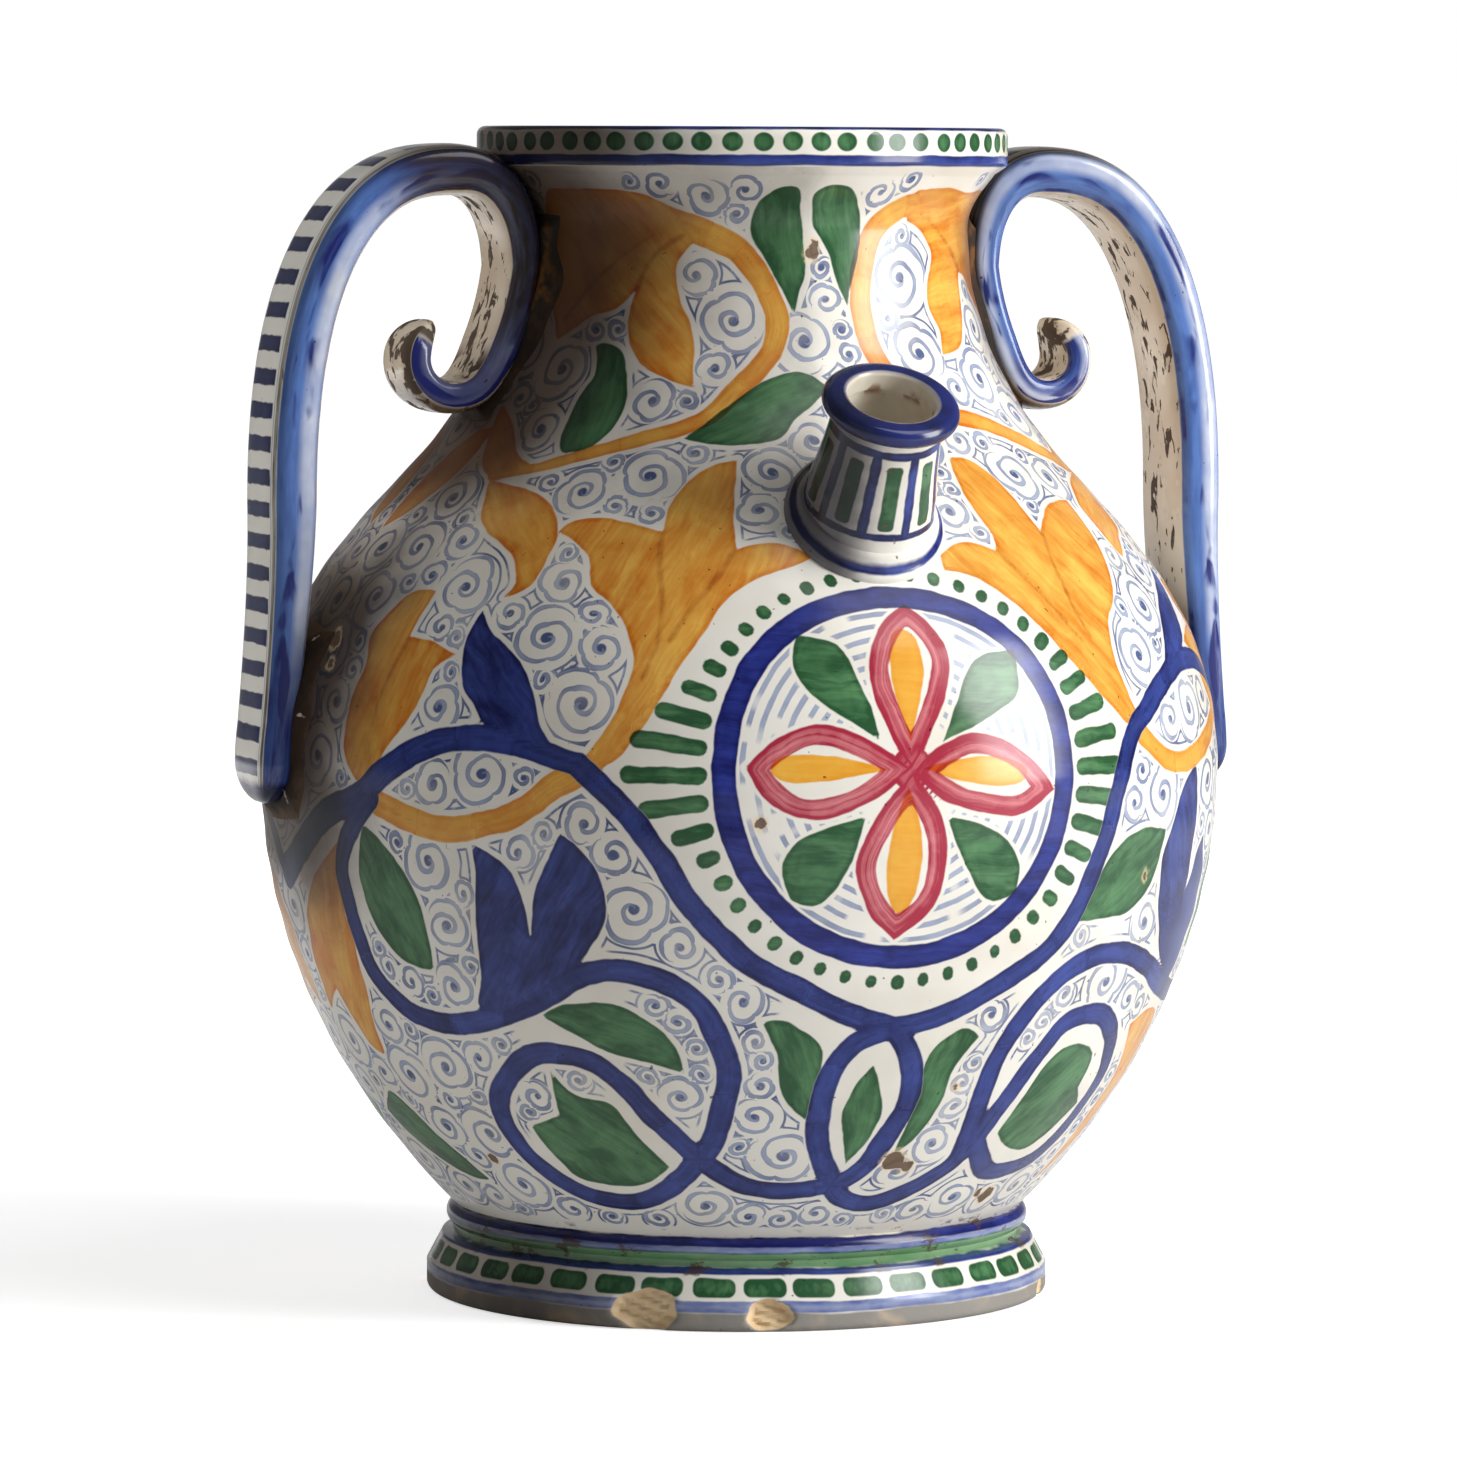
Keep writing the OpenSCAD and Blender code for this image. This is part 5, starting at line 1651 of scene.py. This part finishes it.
def build_strap(side, tree, sockets, material):
    """One strap, as the nodes pull it, made a plain mesh and mirrored for the left side."""
    run, ends = strap_line()
    line = bpy.data.meshes.new("strap_line")
    points = [(r * MM, 0.0, z * MM) for r, z in run]
    line.from_pydata(points, [(k, k + 1) for k in range(len(points) - 1)], [])
    maker = put_in("strap_line_" + side, line)
    modifier = maker.modifiers.new("strap", "NODES")
    modifier.node_group = tree
    given = {"Width": STRAP_W * MM, "Foot Thickness": FOOT_STRAP_T * MM, "Thickness": STRAP_T * MM,
             "Neck Thickness": NECK_STRAP_T * MM, "Tip Width": TIP_W * MM, "Tip Thickness": TIP_T * MM,
             "Leaves Belly": ends[0], "Limb Top": ends[1], "Arch Top": ends[2], "Meets Neck": ends[3],
             "Leaves Neck": ends[4], "End Length": STRAP_END_L * MM, "Squareness": STRAP_SQUARENESS,
             "Steps": STRAP_STEPS, "Sides": STRAP_SIDES, "Finish": material}
    for name, value in given.items():
        modifier[sockets[name]] = value
    bpy.context.view_layer.update()
    seen = maker.evaluated_get(bpy.context.evaluated_depsgraph_get())
    mesh = bpy.data.meshes.new_from_object(seen)
    bpy.data.objects.remove(maker)
    node = "handle_" + side
    mesh.name = node + "_glazed"
    fold_layout(mesh)
    place = np.zeros(len(mesh.vertices) * 3, np.float32)
    mesh.vertices.foreach_get("co", place)
    place = place.reshape(-1, 3) / MM
    place[:, 1] += 0.5 * np.sin(place[:, 2] / 31 + (0.4 if side == "left" else 2.2))
    if side == "left":
        place[:, 0] *= -1
        mesh.flip_normals()
    move_points(mesh, place)
    shade(mesh, 60)
    stand_for(mesh.name, mesh, material, node)


BAR_PITCH = 11.4


def strap_glaze():
    material, s, place = finish_sheet("strap_glaze")
    white = tin_ground(s, place)
    wander = (s.noise(place, 130, 2) - 0.5) * 1.4
    cloud = s.noise(place, 45, 3, 0.6)
    tone = s.fade(cloud, 0.32, 0.68)
    length = s.number("strap_along")
    to_tip = s.number("strap_to_tip")
    across = s.number("strap_across")
    rise = s.number("strap_rise")
    off = abs(across)
    streak = s.fade(s.noise(s.join(length * 0.045, across * 9, rise * 3), 1.0, 3, 0.6), 0.36, 0.66)
    scroll = s.fade(to_tip, 66, 54)

    # The back, with bars between two lines
    ladder = 14.5 - 2.0 * s.fade(length, 110, 190)
    bars = abs(s.math("FRACT", length / BAR_PITCH + 0.3) - 0.5) * BAR_PITCH - 2.75
    bars = s.high(s.high(bars, off * (STRAP_W / 2) - ladder), (0.6 - rise) * 8)
    bars = s.high(bars, 80 - to_tip)
    ground, _ = brushed(s, white, bars, wander, streak * 0.2 + 0.82, BLUE_THIN, BAR_NAVY)
    on_back = s.fade(rise, 0.5, 0.7)
    pencil = s.fade(abs(off - 0.71 + wander * 0.012), 0.02, 0.008) * on_back
    ground = s.tint(pencil * 0.5, ground, LINE_THICK)
    # A dark olive line at the back's edge: partly the seam's colour, partly painted shade
    seam_and_shade = s.fade(abs(off - 0.80 + wander * 0.012), 0.06, 0.025) * on_back
    ground = s.mix(seam_and_shade * (0.6 + 0.4 * streak), ground, SEAM_AND_SHADE_OLIVE)

    # The blue sides, with a painted highlight along their middle
    narrow = scroll * 0.22
    side = s.fade(off + wander * 0.01, 0.83, 0.87) * s.fade(rise + wander * 0.03 + narrow, 0.84, 0.76)
    side = side * s.fade(rise + wander * 0.03, -0.84, -0.77) * s.fade(to_tip + wander * 2, 7, 10)
    blotch = s.fade(s.noise(s.join(length * 0.04, rise * 1.3, across), 1.0, 2, 0.5, 0.5), 0.54, 0.66)
    blotch = blotch * s.fade(abs(rise - 0.15), 0.75, 0.2)
    low_end = s.fade(length, 80, 25)
    which, _, _ = s.split(place)
    lit_side = s.fade(which, -0.01, 0.01)
    # Darker blue towards the neck: dark glaze, and painted shade that is stronger on the left strap
    dark_glaze_and_shade_by_neck = s.fade(to_tip, 190, 150) * (1 - 0.75 * lit_side)
    shade_and_stain_by_wall = s.between(to_tip, 52, 78, 150, 178)
    deep = streak * 0.28 + blotch * 0.75 + tone * 0.12 + low_end * 0.6 + scroll * 0.4 + dark_glaze_and_shade_by_neck * 0.55
    edge_line = s.fade(abs(rise + 0.69 + wander * 0.03), 0.09, 0.03) * s.fade(cloud, 0.42, 0.55)
    deep = s.low(deep + edge_line * 0.6, 1.0)
    # Painted highlight: a pale lilac band on the half of each side that faces the light from the right, the
    # inner half on the left strap and the outer half on the right one
    pale = abs(rise + 0.38 - 0.76 * lit_side + wander * 0.05)
    covered = s.low(blotch + dark_glaze_and_shade_by_neck * 0.8 + low_end, 1.0)
    pale = s.fade(pale, 0.55, 0.12) * (1 - covered) * (0.55 + 0.4 * tone)
    paint = s.mix(pale, s.mix(deep, STRAP_THIN, STRAP_THICK), STRAP_HIGHLIGHT_LILAC)
    ground = s.tint(side, ground, paint)
    # Painted shade: the side of the left strap goes near-black where it runs near the neck
    ground = s.mix(shade_and_stain_by_wall * side * (1 - lit_side) * (0.68 + 0.28 * streak), ground, SCAR_AND_SHADE_BLACK)
    ground = s.tint(s.fade(length + wander * 2, 10, 6) * 0.95, ground, COBALT_THICK)
    ground = s.tint(shade_and_stain_by_wall * s.fade(rise, 0.5, 0.8) * 0.85, ground, STAIN_AND_SHADE_BROWN)

    # The cream inner face, and what is lost of the glaze
    inner = s.fade(rise + wander * 0.02, -0.76, -0.83)
    fleck_run = s.join(length * 0.10, across * 4.5, rise * 2)
    fleck = s.noise(fleck_run, 1.0, 3, 0.55, 0.8) + s.fade(off, 0.7, 0.1) * 0.07
    crust = s.noise(place, 95, 3, 0.6)
    patch = s.noise(place, 24, 2)
    cream = s.mix(s.fade(s.noise(place, 26, 3), 0.35, 0.7), STRAP_CREAM, STRAP_TAN)
    bare_back = scroll * s.fade(rise, 0.35, 0.6) * (1 - side)
    plain = s.high(inner, s.high(bare_back, scroll * (1 - side)))
    ground = s.mix(plain, ground, cream)
    under = s.between(to_tip, 18, 32, 62, 80) * s.fade(rise + wander * 0.1, 0.45, 0.8) * (1 - side)
    ground = s.mix(under * 0.85, ground, s.mix(s.fade(crust, 0.42, 0.6), LUTE_BROWN, LUTE_AMBER))
    lost = s.fade(fleck + patch * 0.2, 0.72, 0.75) * inner
    lost = s.high(lost, s.fade(crust + patch * 0.4, 0.72, 0.77) * scroll * (1 - side))
    near_belly = s.fade(length, 78, 40) * inner
    lost = s.high(lost, s.fade(fleck + near_belly * 0.3, 0.74, 0.80) * near_belly)
    worn = s.fade(fleck + patch * 0.2, 0.74, 0.78) * s.fade(abs(off - 0.83), 0.06, 0.02) * 0.7
    bare = s.high(lost, worn)
    ground = s.mix(bare * 0.95, ground, s.mix(patch * 0.5, SCAR_AND_SHADE_BLACK, SCAR_BROWN))
    rough = 0.11 + s.noise(place, 70, 2) * 0.13 + bare * 0.5 + inner * 0.08
    relief = s.noise(place, 70, 2) * 0.6 - bare * 0.5 + s.noise(place, 260, 2) * 0.05
    close_sheet(s, ground, rough, relief, 0.35, 0.0006)
    return material


# Luting clay


LUTE_ROWS = 64
LUTE_COLUMNS = 56


def build_lute(node, side, low, high, lower_half, shift, material):
    """A smear of luting clay on the wall behind a strap, feathered to a ragged edge."""
    rows, columns = LUTE_ROWS, LUTE_COLUMNS
    z = np.linspace(low, high, rows)[:, None] * np.ones((1, columns))
    share = np.linspace(-1, 1, columns)[None, :] * np.ones((rows, 1))
    t = (z - low) / (high - low)
    spread = lower_half + (LUTE_HALF - lower_half) * np.clip(t * 1.8, 0, 1)
    ragged = 1 + 0.06 * np.sin(z / 9.0 + shift) * np.sign(share)
    ragged = ragged + 0.04 * np.sin(z / 4.3 + 2 * shift + share)
    y = share * spread * ragged
    end = np.minimum(t, 1 - t) * (high - low) * (1 + 0.35 * np.sin(y / 7.0 + shift))
    edge = np.minimum((1 - np.abs(share)) * spread, end)
    lumps = 1 + 0.12 * np.sin(z / 6 + y / 5 + shift)
    thick = LUTE_THICK * np.clip(edge / LUTE_FEATHER, 0, 1) ** 1.4 * lumps
    wall = wall_r(z)
    sign = 1 if side == "right" else -1
    layers = []
    for depth in (np.minimum(thick, 4.4) - 0.3, np.full_like(thick, -LUTE_SINK)):
        angle = y / wall
        r = wall + depth
        layers.append(np.stack([sign * r * np.cos(angle), r * np.sin(angle), z], axis=2).reshape(-1, 3))
    points = np.concatenate(layers)
    count = rows * columns
    faces = []
    for i in range(rows - 1):
        for j in range(columns - 1):
            a = i * columns + j
            quad = (a, a + 1, a + columns + 1, a + columns)
            faces.append(quad)
            faces.append(tuple(count + k for k in reversed(quad)))
    border = [(0, j) for j in range(columns)] + [(i, columns - 1) for i in range(1, rows)]
    border += [(rows - 1, j) for j in range(columns - 2, -1, -1)]
    border += [(i, 0) for i in range(rows - 2, 0, -1)]
    ring = [i * columns + j for i, j in border]
    for a, b in zip(ring, ring[1:] + ring[:1]):
        faces.append((b, a, count + a, count + b))
    name = node + "_smeared"
    mesh = bpy.data.meshes.new(name)
    mesh.from_pydata((points * MM).tolist(), [], faces)
    if side == "left":
        mesh.flip_normals()
    mesh.update()
    set_number(mesh, "smear_edge", np.tile(edge.ravel(), 2))
    shade(mesh, 60)
    stand_for(name, mesh, material, node)


def lute_clay():
    material, s, place = finish_sheet("lute_clay")
    cloud = s.noise(place, 55, 4, 0.65)
    grain = s.noise(place, 320, 3, 0.7)
    _, _, z = s.split(place)
    at_neck = s.fade(z, 0.27, 0.29)
    deep = s.fade(s.number("smear_edge") + (cloud - 0.5) * 16, 0.5, 7.0)
    # The clay's near-black is partly painted shade, of the gap between strap and wall
    ground = s.mix(s.fade(cloud, 0.40, 0.62) * 0.6, LUTE_AND_SHADE_BLACK, LUTE_BROWN)
    ground = s.mix(at_neck * s.fade(s.noise(place, 80, 3, 0.6), 0.52, 0.66) * 0.6, ground, LUTE_AMBER)
    rim = s.mix(at_neck, SMEAR_AND_SHADE_BROWN, LUTE_AND_SHADE_BLACK)
    ground = s.mix(deep, s.mix(s.fade(cloud, 0.4, 0.6) * 0.6, rim, LUTE_BROWN), ground)
    ground = s.mix(s.fade(s.noise(place, 110, 2), 0.68, 0.72) * (1 - at_neck) * 0.7, ground, TIN_CREAM)
    rough = 0.5 + grain * 0.3
    close_sheet(s, ground, rough, grain * 0.4 + cloud * 0.6, 0.45, 0.0008, 0.15)
    return material


# Stage, light and camera


def looks(sheet):
    """Two values: 1 where the background is looked at, and 1 where it is mirrored or seen through glass."""
    ray = sheet.node("ShaderNodeLightPath")
    plain, mirror, glass = [Value(sheet, ray.outputs["Is " + kind + " Ray"])
                            for kind in ("Camera", "Glossy", "Transmission")]
    return plain, sheet.high(mirror, glass)


PATCH_RIGHT = 0.33
PATCH_BACK = 0.94
FLOOR_HALF = 60.0


def on_patch(sheet, right, back, reach):
    """1 in the directions of the pale patch of the room that the glaze mirrors."""
    return sheet.fade((right * PATCH_RIGHT + back * PATCH_BACK) / reach, 0.93, 0.98)


def build_stage():
    """A white floor that keeps the jar's shadow, and a white backdrop in a dim room."""
    material, s, place = finish_sheet("pale_floor")
    plain, mirror = looks(s)
    x, y, _ = s.split(place)
    reach = s.hypot(x, y)
    far = s.fade(reach, 0.4, 1.3)
    matte = s.out("ShaderNodeBsdfDiffuse", None, {"Color": (0.80, 0.80, 0.80, 1)})
    patch = on_patch(s, x, y, s.high(reach, 0.01))
    strength = plain * (0.56 + far * 0.44) + mirror * far * (0.08 + patch * 0.34)
    glow = s.out("ShaderNodeEmission", None, {"Color": (1, 1, 1, 1), "Strength": strength})
    both = s.out("ShaderNodeAddShader", None, {0: matte, 1: glow})
    s.node("ShaderNodeOutputMaterial", None, {"Surface": both})
    mesh = bpy.data.meshes.new("floor")
    half = FLOOR_HALF
    corners = [(-half, -half, 0), (half, -half, 0), (half, half, 0), (-half, half, 0)]
    mesh.from_pydata(corners, [], [(0, 1, 2, 3)])
    floor = put_in("floor", mesh)
    mesh.materials.append(material)
    world = bpy.data.worlds.new("studio")
    bpy.context.scene.world = world
    world.use_nodes = True
    world.node_tree.nodes.clear()
    w = Sheet(world.node_tree)
    plain, mirror = looks(w)
    right, back, _ = w.split(w.out("ShaderNodeTexCoord", output="Generated"))
    seen = w.high(plain, mirror * on_patch(w, right, back, 1.0) * 0.4)
    soft = w.out("ShaderNodeBackground", None, {"Color": (1, 1, 1, 1), "Strength": 0.12})
    white = w.out("ShaderNodeBackground", None, {"Color": (1, 1, 1, 1), "Strength": 1.0})
    both = w.out("ShaderNodeMixShader", None, {0: seen, 1: soft, 2: white})
    w.node("ShaderNodeOutputWorld", None, {"Surface": both})


def add_lamp(name, place, aim, size, watts, in_glaze=True):
    data = bpy.data.lights.new(name, "AREA")
    data.shape = "RECTANGLE"
    data.size, data.size_y = size
    data.energy = watts
    lamp = put_in(name, data)
    lamp.location = place
    lamp.visible_glossy = in_glaze
    lamp.rotation_euler = (Vector(aim) - Vector(place)).to_track_quat("-Z", "Y").to_euler()


CAMERA_PLACE = Vector((-0.901, -2.545, 0.410))
CAMERA_AIM = Vector((-0.0036, 0.0013, 0.203))
CAMERA_ROLL = 0.3
CAMERA_LENS = 184.8


def build_camera():
    data = bpy.data.cameras.new("camera")
    data.sensor_width = 36.0
    data.lens = CAMERA_LENS
    camera = put_in("camera", data)
    turned = (CAMERA_AIM - CAMERA_PLACE).to_track_quat("-Z", "Y").to_matrix()
    turned = turned @ Matrix.Rotation(math.radians(CAMERA_ROLL), 3, "Z")
    camera.matrix_world = Matrix.Translation(CAMERA_PLACE) @ turned.to_4x4()
    bpy.context.scene.camera = camera


build_camera()
build_stage()
middle = (0.0, 0.0, 0.22)
add_lamp("window", (1.7, -1.4, 1.0), middle, (0.9, 1.7), 66)
add_lamp("room", (-1.9, -1.7, 1.2), middle, (1.8, 1.8), 1.5)
add_lamp("ceiling", (0.7, -0.9, 2.1), middle, (1.2, 1.2), 14)
add_lamp("behind", (-1.15, 2.0, 0.95), middle, (1.6, 1.6), 38, in_glaze=False)
bpy.context.scene.view_settings.view_transform = "Standard"

glaze = painted_glaze()
for node, mesh in build_walls().items():
    stand_for(node + "_glazed", mesh, glaze, node)
build_spout(spout_glaze())
straps = strap_glaze()
tree, sockets = strap_tree()
smears = lute_clay()
for number, side in enumerate(("left", "right")):
    build_strap(side, tree, sockets, straps)
    build_lute("belly_lute_" + side, side, *BELLY_LUTE, 25, 1.3 + number, smears)
    build_lute("neck_lute_" + side, side, *NECK_LUTE, 22, 2.9 + number, smears)
